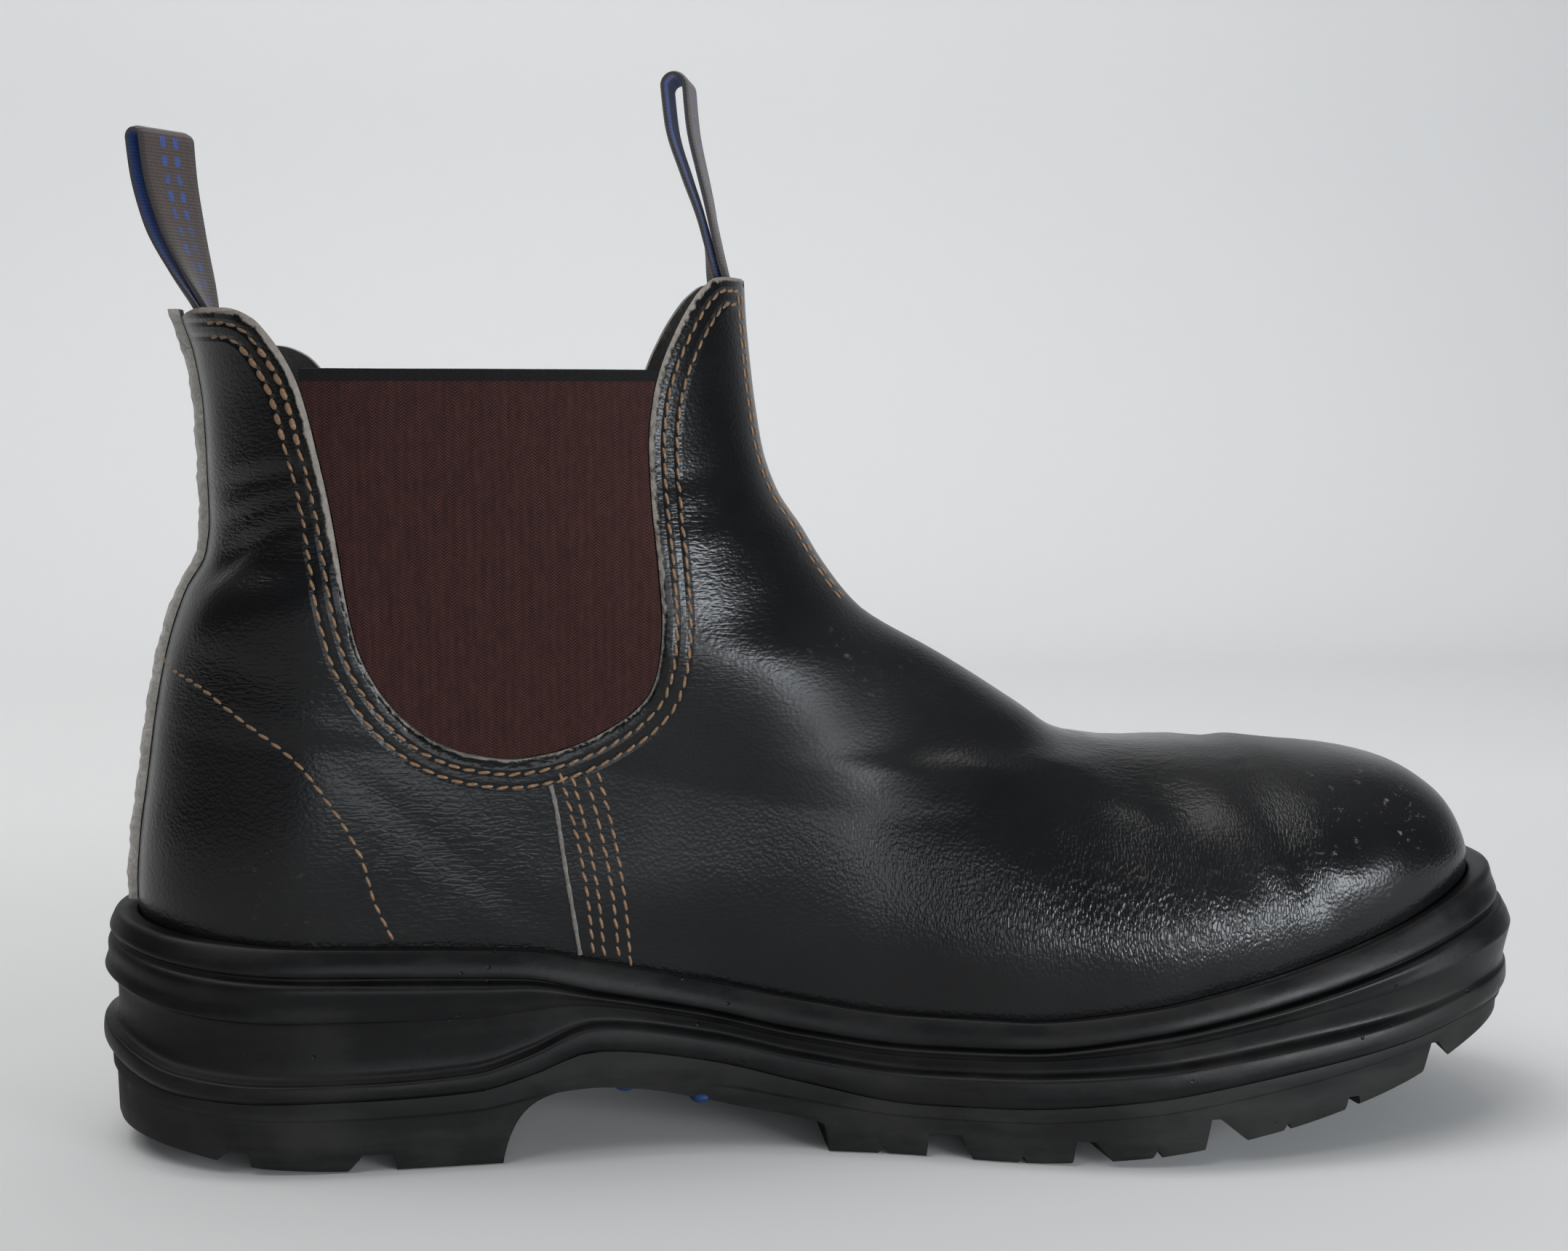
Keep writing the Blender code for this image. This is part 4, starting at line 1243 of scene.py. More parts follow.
class Stitching:
    """Rows of raised tan stitches laid on the leather."""

    def __init__(self, form: BootForm, upper: LeatherUpper, thread: Thread = Thread()) -> None:
        """Keeps the form, the creased leather that carries the stitches and their size.

        Args:
            form: The boot's shape.
            upper: The creased leather.
            thread: Size of a stitch.
        """
        self.form, self.upper, self.thread = form, upper, thread
        self.points: list[np.ndarray] = []
        self.faces: Faces = []
        self.random = np.random.default_rng(7)

    def grain(self, length: float, radius: float) -> tuple[np.ndarray, Faces]:
        """A rounded stitch along X with its ends dipping: points and faces.

        Args:
            length: Length of the stitch.
            radius: Radius of the thread.

        Returns:
            Points and faces.
        """
        rings, around = 8, 7
        points, faces = [], []
        for i in range(rings):
            t = -1 + 2 * i / (rings - 1)
            r = radius * max(1 - abs(t) ** 3.2, 0.10) ** 0.6
            for k in range(around):
                a = 2 * math.pi * k / around
                up = r * math.sin(a) + radius * (0.35 - 0.75 * t * t)
                points.append((t * length / 2, r * 1.15 * math.cos(a), up))
        faces += ring_faces(rings, around)
        faces += [tuple(range(around)), tuple(range(len(points) - 1, len(points) - around - 1, -1))]
        return np.array(points), faces

    def add(self, at: np.ndarray, normal: np.ndarray, run: np.ndarray, size: float = 1.0) -> None:
        """Adds one stitch.

        Args:
            at: Middle of the stitch on the leather.
            normal: Outward direction.
            run: Direction of the row.
            size: Thickness beside a usual stitch.
        """
        run = run - normal * (run @ normal)
        run /= np.linalg.norm(run)
        cross = np.cross(normal, run)
        sway = math.radians(self.random.normal(9, 3))
        along = run * math.cos(sway) + cross * math.sin(sway)
        across = cross * math.cos(sway) - run * math.sin(sway)
        length = self.thread.length * self.random.uniform(0.93, 1.05)
        points, faces = self.grain(length, self.thread.radius * size)
        first = sum(len(p) for p in self.points)
        self.points.append(at + points @ np.stack([along, across, normal]))
        self.faces += [tuple(first + i for i in face) for face in faces]

    def row(self, line: np.ndarray, side: Side, start: float = 0.0,
            heavy: tuple[float, float] | None = None) -> None:
        """Lays a row along a line of the side view.

        Args:
            line: Points (x, z) in metres.
            side: Side of the boot.
            start: Distance along the line to the first stitch.
            heavy: Lowest and highest height between which the thread is doubled.
        """
        spots, dirs = self.form.point(side, line[:, 0], line[:, 1])
        spots = spots + dirs * self.upper.creased(spots)[:, None]
        run = np.concatenate([[0], np.cumsum(np.linalg.norm(np.diff(spots, axis=0), axis=1))])

        def at_run(values: np.ndarray, distance: float) -> np.ndarray:
            """Values at a distance along the row.

            Args:
                values: Values by point of the row.
                distance: Distance along the row.

            Returns:
                The values there.
            """
            return np.array([np.interp(distance, run, values[:, k]) for k in range(3)])

        for distance in np.arange(start + self.thread.pitch / 2, run[-1], self.thread.pitch):
            at, normal = at_run(spots, distance), at_run(dirs, distance)
            ahead = at_run(spots, min(distance + 0.4 * MM, run[-1]))
            behind = at_run(spots, max(distance - 0.4 * MM, 0))
            thick = 1.75 if heavy and heavy[0] < at[2] < heavy[1] and at[0] < -90 * MM else 1.0
            self.add(at - normal * 0.10 * MM, normal / np.linalg.norm(normal), ahead - behind, thick)

    def gore_rows(self, side: Side) -> None:
        """The double row round the gore and over both tabs.

        Args:
            side: Side of the boot.
        """
        for inset, start in ((2.8 * MM, 0.0), (5.5 * MM, 1.2 * MM)):
            line = self.form.collar(-inset, side, 8)
            first = np.argmax(line[:, 0] > self.form.back_x(170 * MM) + 7 * MM)
            last = len(line) - np.argmax(line[::-1, 0] < self.form.front_x(line[::-1, 1]) - 2.2 * MM)
            self.row(line[first:last], side, start, (144 * MM, 164 * MM))

    def side_seam(self, side: Side) -> None:
        """Four rows down from the bottom of the gore to the sole.

        Args:
            side: Side of the boot.
        """
        for top, foot in (((-56.2, 79.6), (-49.7, 40.5)), ((-54.0, 79.4), (-47.5, 40.2)),
                          ((-51.2, 79.6), (-44.5, 39.5)), ((-48.8, 80.2), (-42.2, 39.3))):
            t = np.linspace(0, 1, 20)[:, None]
            line = np.array(top) * (1 - t) + np.array(foot) * t
            line[:, 0] += 1.2 * np.sin(math.pi * t[:, 0])
            self.row(line * MM, side, self.random.uniform(0, 1.5) * MM)

    def counter_row(self, side: Side) -> None:
        """The single row that holds the heel counter, from the back seam down to the sole.

        Args:
            side: Side of the boot.
        """
        steps = tuple(range(9))
        x = Curve(steps, (-136.5, -127.4, -117.7, -107.0, -102.0, -98.4, -95.0, -93.0, -89.6))
        z = Curve(steps, (100.3, 97.1, 90.5, 82.1, 75.5, 69.9, 62.7, 54.7, 46.6))
        t = np.linspace(0, 8, 60)
        self.row(np.stack([x(t), z(t)], axis=1) * MM, side)

    def front_rows(self) -> None:
        """The double row beside the front seam, from the tab down to the instep."""
        z = np.linspace(175, 110.5, 70) * MM
        for away in (10.4 * MM, 8.2 * MM):
            low, high = self.form.front_x(z) - 40 * MM, self.form.front_x(z) - 0.01 * MM
            for _ in range(40):
                half = (low + high) / 2
                wider = self.form.width(Side.INNER, half, z) > away
                low, high = np.where(wider, half, low), np.where(wider, high, half)
            self.row(np.stack([low, z], axis=1), Side.INNER)

    def build(self) -> bpy.types.Object:
        """Sews every row and makes one piece of them.

        Returns:
            The finished piece.
        """
        for side in Side:
            self.gore_rows(side)
            self.side_seam(side)
            self.counter_row(side)
        self.front_rows()
        piece = mesh_object("stitching", np.concatenate(self.points), self.faces)
        piece.data.materials.append(ThreadFinish().make("Tan thread"))
        smooth_shade(piece)
        return belongs(piece, "tape_brown")


class OverlapEdge:
    """The pale cut edge where the front panel laps over the quarter, beside the four rows of stitches."""

    line: tuple[tuple[float, float], ...] = ((-58.0, 76.8), (-57.1, 73.0), (-56.2, 67.0), (-55.3, 60.4),
                                             (-54.0, 52.0), (-52.4, 41.5))

    def __init__(self, form: BootForm, upper: LeatherUpper, wide: float = 0.85 * MM,
                 high: float = 0.5 * MM) -> None:
        """Keeps the form, the creased leather and the edge's size."""
        self.form, self.upper, self.wide, self.high = form, upper, wide, high

    def build(self) -> bpy.types.Object:
        """Lays the edge on both sides of the boot.

        Returns:
            The finished piece.
        """
        points, faces = [], []
        steps = tuple(range(len(self.line)))
        t = np.linspace(0, steps[-1], 60)
        x, z = (Curve(steps, tuple(row[k] for row in self.line))(t) * MM for k in (0, 1))
        for side in Side:
            at, normal = self.form.point(side, x, z)
            at = at + normal * self.upper.creased(at)[:, None]
            run = np.gradient(at, axis=0)
            across = np.cross(normal, run / np.linalg.norm(run, axis=1)[:, None])
            first = len(points)
            for i in range(len(t)):
                wide = self.wide * (1 + 0.12 * math.sin(9 * t[i]) + 0.08 * math.sin(23 * t[i]))
                for a, b in ((-0.5, -0.3), (-0.5, 0.6), (-0.3, 1.0), (0.2, 0.9), (0.5, 0.3), (0.5, -0.3)):
                    points.append(at[i] + across[i] * a * wide * side.value * -1 + normal[i] * b * self.high)
            faces += ring_faces(len(t), 6, first)
            faces += [tuple(first + k for k in range(6)), tuple(len(points) - 1 - k for k in range(6))]
        piece = mesh_object("overlap_edge", np.array(points), faces)
        suede = SuedeFinish((0.05, 0.045, 0.040), (0.20, 0.18, 0.155))
        piece.data.materials.append(suede.make("Cut panel edge"))
        smooth_shade(piece, 60)
        return belongs(piece, "raw_leather")


class ElasticGore:
    """One elastic side panel with a slack, faintly waved face."""

    per: int = 8
    rows_from: int = 7
    rows_to: int = 33
    below: float = 0.6
    back: float = 2.0

    def __init__(self, form: BootForm, side: Side, finish: bpy.types.Material) -> None:
        """Keeps the form, the side and the finish."""
        self.form, self.side, self.finish = form, side, finish

    def build(self) -> bpy.types.Object:
        """Makes the panel inside the leather's cut edge.

        Returns:
            The finished piece.
        """
        edge = self.form.collar(GAP, self.side, self.per)[self.rows_from * self.per:self.rows_to * self.per]
        top = self.form.seat_height + self.form.gore_height
        low = int(np.argmin(edge[:, 1]))
        rows = []
        for z in np.linspace(edge[low, 1] + 0.05 * MM, top, 90):
            back = float(np.interp(z, edge[:low + 1, 1][::-1], edge[:low + 1, 0][::-1]))
            front = float(np.interp(z, edge[low:, 1], edge[low:, 0]))
            rows.append([(x, z) for x in np.linspace(back, front, 70)])
        grid = np.array(rows)
        height, wide = grid.shape[:2]
        x, z = grid.reshape(-1, 2).T
        at, normal = self.form.point(self.side, x, z)
        wave = 0.12 * MM * np.sin(x * 900 + 3 * np.sin(z * 60)) * np.sin(z * 95)
        outer, inner = (at - normal * (depth * MM - wave)[:, None] for depth in (self.below, self.back))
        count = height * wide
        faces = [(j * wide + i, j * wide + i + 1, (j + 1) * wide + i + 1, (j + 1) * wide + i)
                 for j in range(height - 1) for i in range(wide - 1)]
        faces += [tuple(count + i for i in f[::-1]) for f in faces]
        rim = ([(0, i) for i in range(wide)] + [(j, wide - 1) for j in range(1, height)]
               + [(height - 1, i) for i in range(wide - 2, -1, -1)]
               + [(j, 0) for j in range(height - 2, 0, -1)])
        rim = [j * wide + i for j, i in rim]
        faces += [(a, b, count + b, count + a) for a, b in zip(rim, rim[1:] + rim[:1])]
        name = "inner" if self.side is Side.INNER else "outer"
        piece = mesh_object(f"elastic_{name}", np.concatenate([outer, inner]), faces)
        piece.data.materials.append(self.finish)
        smooth_shade(piece, 50)
        return belongs(piece, "elastic_brown", f"gore_{name}")


class BackSeam:
    """The raised seam up the back: two raw edges side by side with a groove between, flared at the collar."""

    def __init__(self, form: BootForm) -> None:
        """Keeps the form."""
        self.form = form

    def build(self) -> bpy.types.Object:
        """Sweeps the seam's section up the back.

        Returns:
            The finished piece.
        """
        section = [(-3.1, 0.25), (-3.0, 1.5), (-2.5, 2.2), (-1.6, 2.4), (-0.8, 2.1), (-0.25, 1.2),
                   (0.25, 1.2), (0.8, 2.1), (1.6, 2.4), (2.5, 2.2), (3.0, 1.5), (3.1, 0.25)]
        low = float(self.form.line("feather", self.form.heel)) + 0.3 * MM
        high = self.form.seat_height + EDGE_RISE[1] * self.form.upper_rise
        heights = np.linspace(low, high, 90)
        rows = []
        for z in heights:
            flare = float(ease((z - high + 14 * MM) / (14 * MM)))
            ripple = 1 + 0.06 * math.sin(z * 700) + 0.05 * math.sin(z * 1930 + 1)
            for y, out in section:
                lift = out * MM * ripple * (1 + 0.12 * flare) if out > 0.3 else 0.3 * MM
                rows.append(self.form.back_point(y * MM * (1 + 0.05 * math.sin(z * 480)), z, lift))
        around = len(section)
        faces = ring_faces(len(heights), around)
        faces += [tuple(range(around)), tuple(range(len(rows) - 1, len(rows) - around - 1, -1))]
        piece = mesh_object("back_seam_edges", np.array(rows), faces)
        suede = SuedeFinish((0.24, 0.225, 0.205), (0.62, 0.59, 0.54))
        piece.data.materials.append(suede.make("Raw seam edge"))
        smooth_shade(piece, 60)
        return belongs(piece, "raw_leather", "back_seam")


@dataclass(frozen=True)
class LoopShape:
    """Shape of a pull loop above its tab, by share of its rise."""

    rise: float
    lean: Curve
    opening: Curve
    twist: Curve
    cup: float


@dataclass
class PullLoop:
    """A folded band of woven tape, brown outside and blue inside."""

    name: str
    node: str
    shape: LoopShape
    top: float
    forward: int
    form: BootForm
    width: float = 16 * MM
    thick: float = 1.3 * MM
    tuck: float = 13 * MM
    slack: float = 0.4 * MM
    finishes: list[bpy.types.Material] = field(default_factory=list)

    def seat(self, z: float) -> float:
        """Middle of the folded tape behind the leather at a height."""
        behind = self.form.leather + GAP + self.thick + self.slack
        if self.forward > 0:
            return float(self.form.front_x(z)) - behind
        return float(self.form.back_x(z)) + behind

    def build(self) -> bpy.types.Object:
        """Sweeps the tape up one leg, over the fold and down the other.

        Returns:
            The finished piece.
        """
        s, rise = self.shape, self.shape.rise
        share = np.concatenate([np.linspace(-self.tuck / rise, 0, 8)[:-1], np.linspace(0, 0.94, 36)])
        up = np.clip(share, 0, 1)
        height, half, twist = share * rise, s.opening(up) * rise / 2, s.twist(up)
        middle = np.array([self.seat(self.top + min(h, 0)) for h in height]) + s.lean(up) * rise
        bend = np.linspace(math.pi, 0, 17)[1:-1]
        x = np.concatenate([middle - half, middle[-1] + half[-1] * np.cos(bend), (middle + half)[::-1]])
        z = np.concatenate([height, height[-1] + half[-1] * np.sin(bend), height[::-1]])
        turn = np.radians(np.concatenate([twist, np.full(len(bend), twist[-1]), twist[::-1]]))
        line = np.stack([x, z], axis=1)
        run = np.concatenate([[0], np.cumsum(np.linalg.norm(np.diff(line, axis=0), axis=1))])
        tangent = np.gradient(line, axis=0)
        tangent /= np.linalg.norm(tangent, axis=1)[:, None]
        axis = np.interp(z, height, middle)
        across = np.linspace(-0.5, 0.5, 13)
        section = ([(v * self.width, 0.5 - 0.28 * (abs(v) > 0.49)) for v in across]
                   + [(v * self.width, -0.5 + 0.28 * (abs(v) > 0.49)) for v in across[::-1]])
        points, runs, places = [], [], []
        for i in range(len(x)):
            cup = (1 - float(ease((z[i] + 2 * MM) / (0.5 * rise)))) * s.cup / self.form.ball_width
            for y, face in section:
                out = x[i] - axis[i] - face * tangent[i, 1] * self.thick
                side = y * math.cos(turn[i]) - out * math.sin(turn[i])
                ahead = out * math.cos(turn[i]) + y * math.sin(turn[i])
                up = self.top + z[i] + face * tangent[i, 0] * self.thick
                points.append((axis[i] + ahead + cup * side * side, side, up))
                runs.append(run[i] / MM)
                places.append(y / MM)
        around = len(section)
        faces = ring_faces(len(x), around)
        for first in (0, (len(x) - 1) * around):
            faces += [(first + i, first + i + 1, first + around - 2 - i, first + around - 1 - i)
                      for i in range(around // 2 - 1)]
        piece = mesh_object(self.name, np.array(points), faces)
        for finish in self.finishes:
            piece.data.materials.append(finish)
        inside = [int(i < (len(x) - 1) * around and around // 2 <= i % around < around - 1)
                  for i in range(len(piece.data.polygons))]
        piece.data.polygons.foreach_set("material_index", inside)
        attribute(piece, "tape_run", np.array(runs))
        attribute(piece, "tape_across", np.array(places))
        smooth_shade(piece, 60)
        return belongs(piece, "tape_brown", self.node)


class Midsole:
    """The foam midsole: a rounded lip round the upper, a groove and ribs down its side."""

    profile: tuple[tuple[str, str, float, float, float, float], ...] = (
        ("feather", "groove", 0.08, 1.10, 1.10, 1.60), ("feather", "groove", 0.45, 0.74, 0.72, 1.30),
        ("feather", "groove", 0.78, 0.56, 0.58, 1.00), ("feather", "groove", 0.93, 0.66, 0.70, 0.95),
        ("feather", "groove", 1.00, 0.80, 1.12, 1.00), ("groove", "bulge_high", 0.03, 0.80, 1.10, 1.00),
        ("groove", "bulge_high", 0.07, 0.56, 0.56, 0.66), ("groove", "bulge_high", 0.14, 0.42, 0.40, 0.50),
        ("groove", "bulge_high", 0.26, 0.42, 0.60, 0.24), ("groove", "bulge_high", 0.37, 0.22, 0.72, 0.06),
        ("groove", "bulge_high", 0.42, 0.24, 0.80, 0.00), ("groove", "bulge_high", 0.48, 0.90, 0.85, 0.04),
        ("groove", "bulge_high", 0.90, 0.96, 0.98, 0.40),
        ("bulge_high", "bulge_low", 0.02, 0.40, 0.40, 0.40),
        ("bulge_high", "bulge_low", 0.16, 0.06, 0.06, 0.25),
        ("bulge_high", "bulge_low", 0.70, 0.00, 0.00, 0.20),
        ("bulge_high", "bulge_low", 1.00, 0.40, 0.40, 0.40),
    )
    heel_end: float = 0.215
    toe_start: float = 0.78

    def __init__(self, form: BootForm, count: int = 150, per: int = 4) -> None:
        """Keeps the form, the points along each side and the rings for each row of the profile."""
        self.form, self.count, self.per = form, count, per

    def rib_ring(self, upper: str, lower: str, share: float, *depths: float) -> np.ndarray:
        """One ring of the side wall, with its depths at the heel, along the sides and at the toe.

        Args:
            upper: Line of the sole above the ring.
            lower: Line below it.
            share: Share of the way down.
            depths: Depths as shares of a rib's.

        Returns:
            Points of the ring.
        """
        heel, side, toe = (self.form.outline(depth * self.form.rib_depth, self.count) for depth in depths)
        along = self.form.share(side[:, :1])
        plan = side + np.sqrt(ease((self.heel_end - along) / self.heel_end)) * (heel - side)
        plan = plan + ease((along - self.toe_start) / (1 - self.toe_start)) * (toe - side)
        high, low = self.form.line(upper, plan[:, 0]), self.form.line(lower, plan[:, 0])
        return np.column_stack([plan, high + share * (low - high)])

    def build(self) -> bpy.types.Object:
        """Lofts the midsole.

        Returns:
            The finished piece.
        """
        form = self.form
        inner, crest, outer = (form.foot_ring(GAP + out, self.count) for out in (0.0, 0.4 * MM, form.lip_top))
        ledge = form.line("feather", inner[:, 0])
        rings = [np.column_stack([inner, ledge - form.lip_depth]), np.column_stack([inner, ledge - 0.3 * MM]),
                 np.column_stack([crest, ledge])]
        rows = [np.column_stack([outer, form.line("feather", outer[:, 0]) - 0.1 * MM])]
        rows += [self.rib_ring(*row) for row in self.profile]
        for k in range(len(rows) - 1):
            a, b, c, d = rows[max(k - 1, 0)], rows[k], rows[k + 1], rows[min(k + 2, len(rows) - 1)]
            for t in np.linspace(0, 1, self.per, endpoint=False):
                bend, turn = 2 * a - 5 * b + 4 * c - d, 3 * b - a - 3 * c + d
                rings.append(0.5 * (2 * b + (c - a) * t + bend * t ** 2 + turn * t ** 3))
        rings.append(rows[-1])
        around = len(rings[0])
        faces = ring_faces(len(rings), around) + cap_faces(0, around)
        faces += cap_faces((len(rings) - 1) * around, around)
        piece = mesh_object("foam_midsole", np.concatenate(rings), faces)
        piece.data.materials.append(RubberFinish(rough=0.40, dusty=0.30).make("Black foam"))
        smooth_shade(piece, 60)
        return belongs(piece, "foam_black", "midsole")


class Outsole:
    """The rubber outsole: lugs between slanting grooves, small nicks, the heel breast and the hollow arch."""

    lug_depth: float = 5.2 * MM
    below: float = 12 * MM
    grooves: tuple[tuple[float, ...], ...] = (
        (0.115, 0.0150, 8, 1.20, 0.10, 0.70), (0.180, 0.0205, -6, 0.90, 0.12, 0.70),
        (0.587, 0.0220, 8, 0.10, 0.46, 1.00), (0.636, 0.0120, -8, 0.12, 0.85, 1.00),
        (0.768, 0.0060, 8, 0.20, 1.20, 1.00), (0.823, 0.0080, -8, 0.25, 0.25, 0.80),
        (0.924, 0.0060, 6, 0.30, 0.80, 0.70),
        (0.529, 0.0020, 0, 0.50, 0.50, 0.34), (0.618, 0.0015, 0, 0.45, 0.45, 0.30),
        (0.705, 0.0015, 0, 0.50, 0.50, 0.34), (0.796, 0.0015, 0, 0.50, 0.50, 0.30),
    )
    wall: tuple[tuple[float, float], ...] = ((1.6, 0.24), (2.3, 0.29), (2.4, 0.60), (2.5, 0.90), (2.8, 0.97),
                                             (3.6, 1.0))
    arch_along = (0.2700, 0.2730, 0.2795, 0.288, 0.298, 0.311, 0.334, 0.367, 0.400, 0.434, 0.489, 0.4920,
                  0.4970)
    arch_high = (-0.300, 0.0000, 0.1500, 0.235, 0.282, 0.309, 0.317, 0.296, 0.252, 0.202, 0.130, 0.0500,
                 -0.300)

    def __init__(self, form: BootForm, count: int = 110) -> None:
        """Keeps the form and the points along each side."""
        self.form, self.count = form, count

    def ring(self, inset: float, share: float, drop: float = 0.0) -> np.ndarray:
        """A ring of the wall between the midsole's foot and the tread.

        Args:
            inset: Distance in from the outline, in millimetres.
            share: Share of the way down.
            drop: Gap below the midsole.

        Returns:
            Points of the ring.
        """
        plan = self.form.outline(inset * MM, self.count)
        a, b = self.form.line("bulge_low", plan[:, 0]), self.form.line("tread", plan[:, 0])
        return np.column_stack([plan, a + share * (b - a) - drop])

    def prism(self, name: str, section: list[tuple[float, float]], skew: float = 0.0) -> bpy.types.Object:
        """A bar right across the sole with its section in the side view.

        Args:
            name: Name of the bar.
            section: Points (x, z).
            skew: Turn in plan, in degrees.

        Returns:
            The bar as an object.
        """
        reach, count = self.form.ball_width, len(section)
        shift = math.tan(math.radians(skew)) * reach
        points = [(x + s * shift, s * reach, z) for s in (-1, 1) for x, z in section]
        faces = ring_faces(2, count) + [tuple(range(count)), tuple(range(2 * count - 1, count - 1, -1))]
        return mesh_object(name, np.array(points), faces)

    def channel(self) -> bpy.types.Object:
        """The lengthwise channel of the forefoot.

        Returns:
            The bar that cuts it.
        """
        x = self.form.heel + self.form.length * np.linspace(0.50, 0.95, 13)
        half, floor, middle = 0.03 * self.form.ball_width, self.form.line("tread", x), self.form.centre(x)
        points = []
        for i in range(len(x)):
            top, low = floor[i] + 0.8 * self.lug_depth, floor[i] - self.below
            points += [(x[i], middle[i] - half, top), (x[i], middle[i] + half, top),
                       (x[i], middle[i] + 1.5 * half, low), (x[i], middle[i] - 1.5 * half, low)]
        faces = ring_faces(len(x), 4) + [(0, 1, 2, 3), tuple(4 * (len(x) - 1) + k for k in (3, 2, 1, 0))]
        return mesh_object("channel", np.array(points), faces)

    def build(self) -> bpy.types.Object:
        """Lofts the outsole and cuts its tread.

        Returns:
            The finished piece.
        """
        form = self.form
        rings = [self.ring(1.5, 0, GAP)] + [self.ring(*row) for row in self.wall]
        around = len(rings[0])
        faces = ring_faces(len(rings), around) + cap_faces(0, around)
        faces += cap_faces((len(rings) - 1) * around, around)
        piece = mesh_object("rubber_outsole", np.concatenate(rings), faces)
        steps = tuple(range(len(self.arch_along)))
        fine = np.linspace(0, steps[-1], 5 * steps[-1] + 1)
        x = form.heel + form.length * Curve(steps, self.arch_along)(fine)
        z = form.seat_height * Curve(steps, self.arch_high)(fine)
        cut(piece, self.prism("arch", list(zip(x, z))))
        for along, wide, skew, rear, front, share in self.grooves:
            x0, depth = form.heel + along * form.length, share * self.lug_depth
            floor, half, tall = float(form.line("tread", x0)), wide * form.length / 2, depth + self.below
            low = floor - self.below
            section = [(x0 - half, floor + depth), (x0 + half, floor + depth),
                       (x0 + half + front * tall, low), (x0 - half - rear * tall, low)]
            cut(piece, self.prism("groove", section, skew))
        cut(piece, self.channel())
        edge = piece.modifiers.new("Edge", "BEVEL")
        edge.width, edge.segments = 0.35 * MM, 2
        edge.limit_method, edge.angle_limit = "ANGLE", math.radians(40)
        applied(piece)
        piece.data.materials.clear()
        rubber = RubberFinish((0.0065, 0.0064, 0.0062), (0.042, 0.041, 0.038), 0.58, 0.5, 0.3)
        piece.data.materials.append(rubber.make("Tread rubber"))
        smooth_shade(piece, 35)
        return belongs(piece, "tread_black", "outsole")


class ArchStuds:
    """Small blue moulded studs under the arch."""

    places: tuple[tuple[float, float], ...] = (
        (-57, -25.5), (-43.5, -26.5), (-28, -27), (-57, -9), (-43.5, -9), (-28, -9),
        (-57, 9), (-43.5, 10), (-28, 10), (-57, 27), (-43.5, 28), (-28, 29))
    radius: float = 2.3 * MM
    squash: float = 0.60

    def __init__(self, form: BootForm) -> None:
        """Keeps the form."""
        self.form = form

    def build(self) -> bpy.types.Object:
        """Makes the studs as one piece.

        Returns:
            The finished piece.
        """
        shape = bmesh.new()
        under = Curve(Outsole.arch_along[1:-1], Outsole.arch_high[1:-1])
        for x, y in self.places:
            z = self.form.seat_height * float(under(self.form.share(x * MM)))
            place = Matrix.Translation((x * MM, y * MM, z)) @ Matrix.Diagonal((1, 1, self.squash, 1))
            bmesh.ops.create_uvsphere(shape, u_segments=20, v_segments=12, radius=self.radius, matrix=place)
        mesh = bpy.data.meshes.new("arch_studs")
        shape.to_mesh(mesh)
        shape.free()
        piece = bpy.data.objects.new("arch_studs", mesh)
        bpy.context.scene.collection.objects.link(piece)
        rubber = RubberFinish((0.008, 0.024, 0.080), (0.03, 0.035, 0.05), 0.5, 0.2, 0.0)
        piece.data.materials.append(rubber.make("Blue rubber"))
        smooth_shade(piece)
        return belongs(piece, "tread_black")


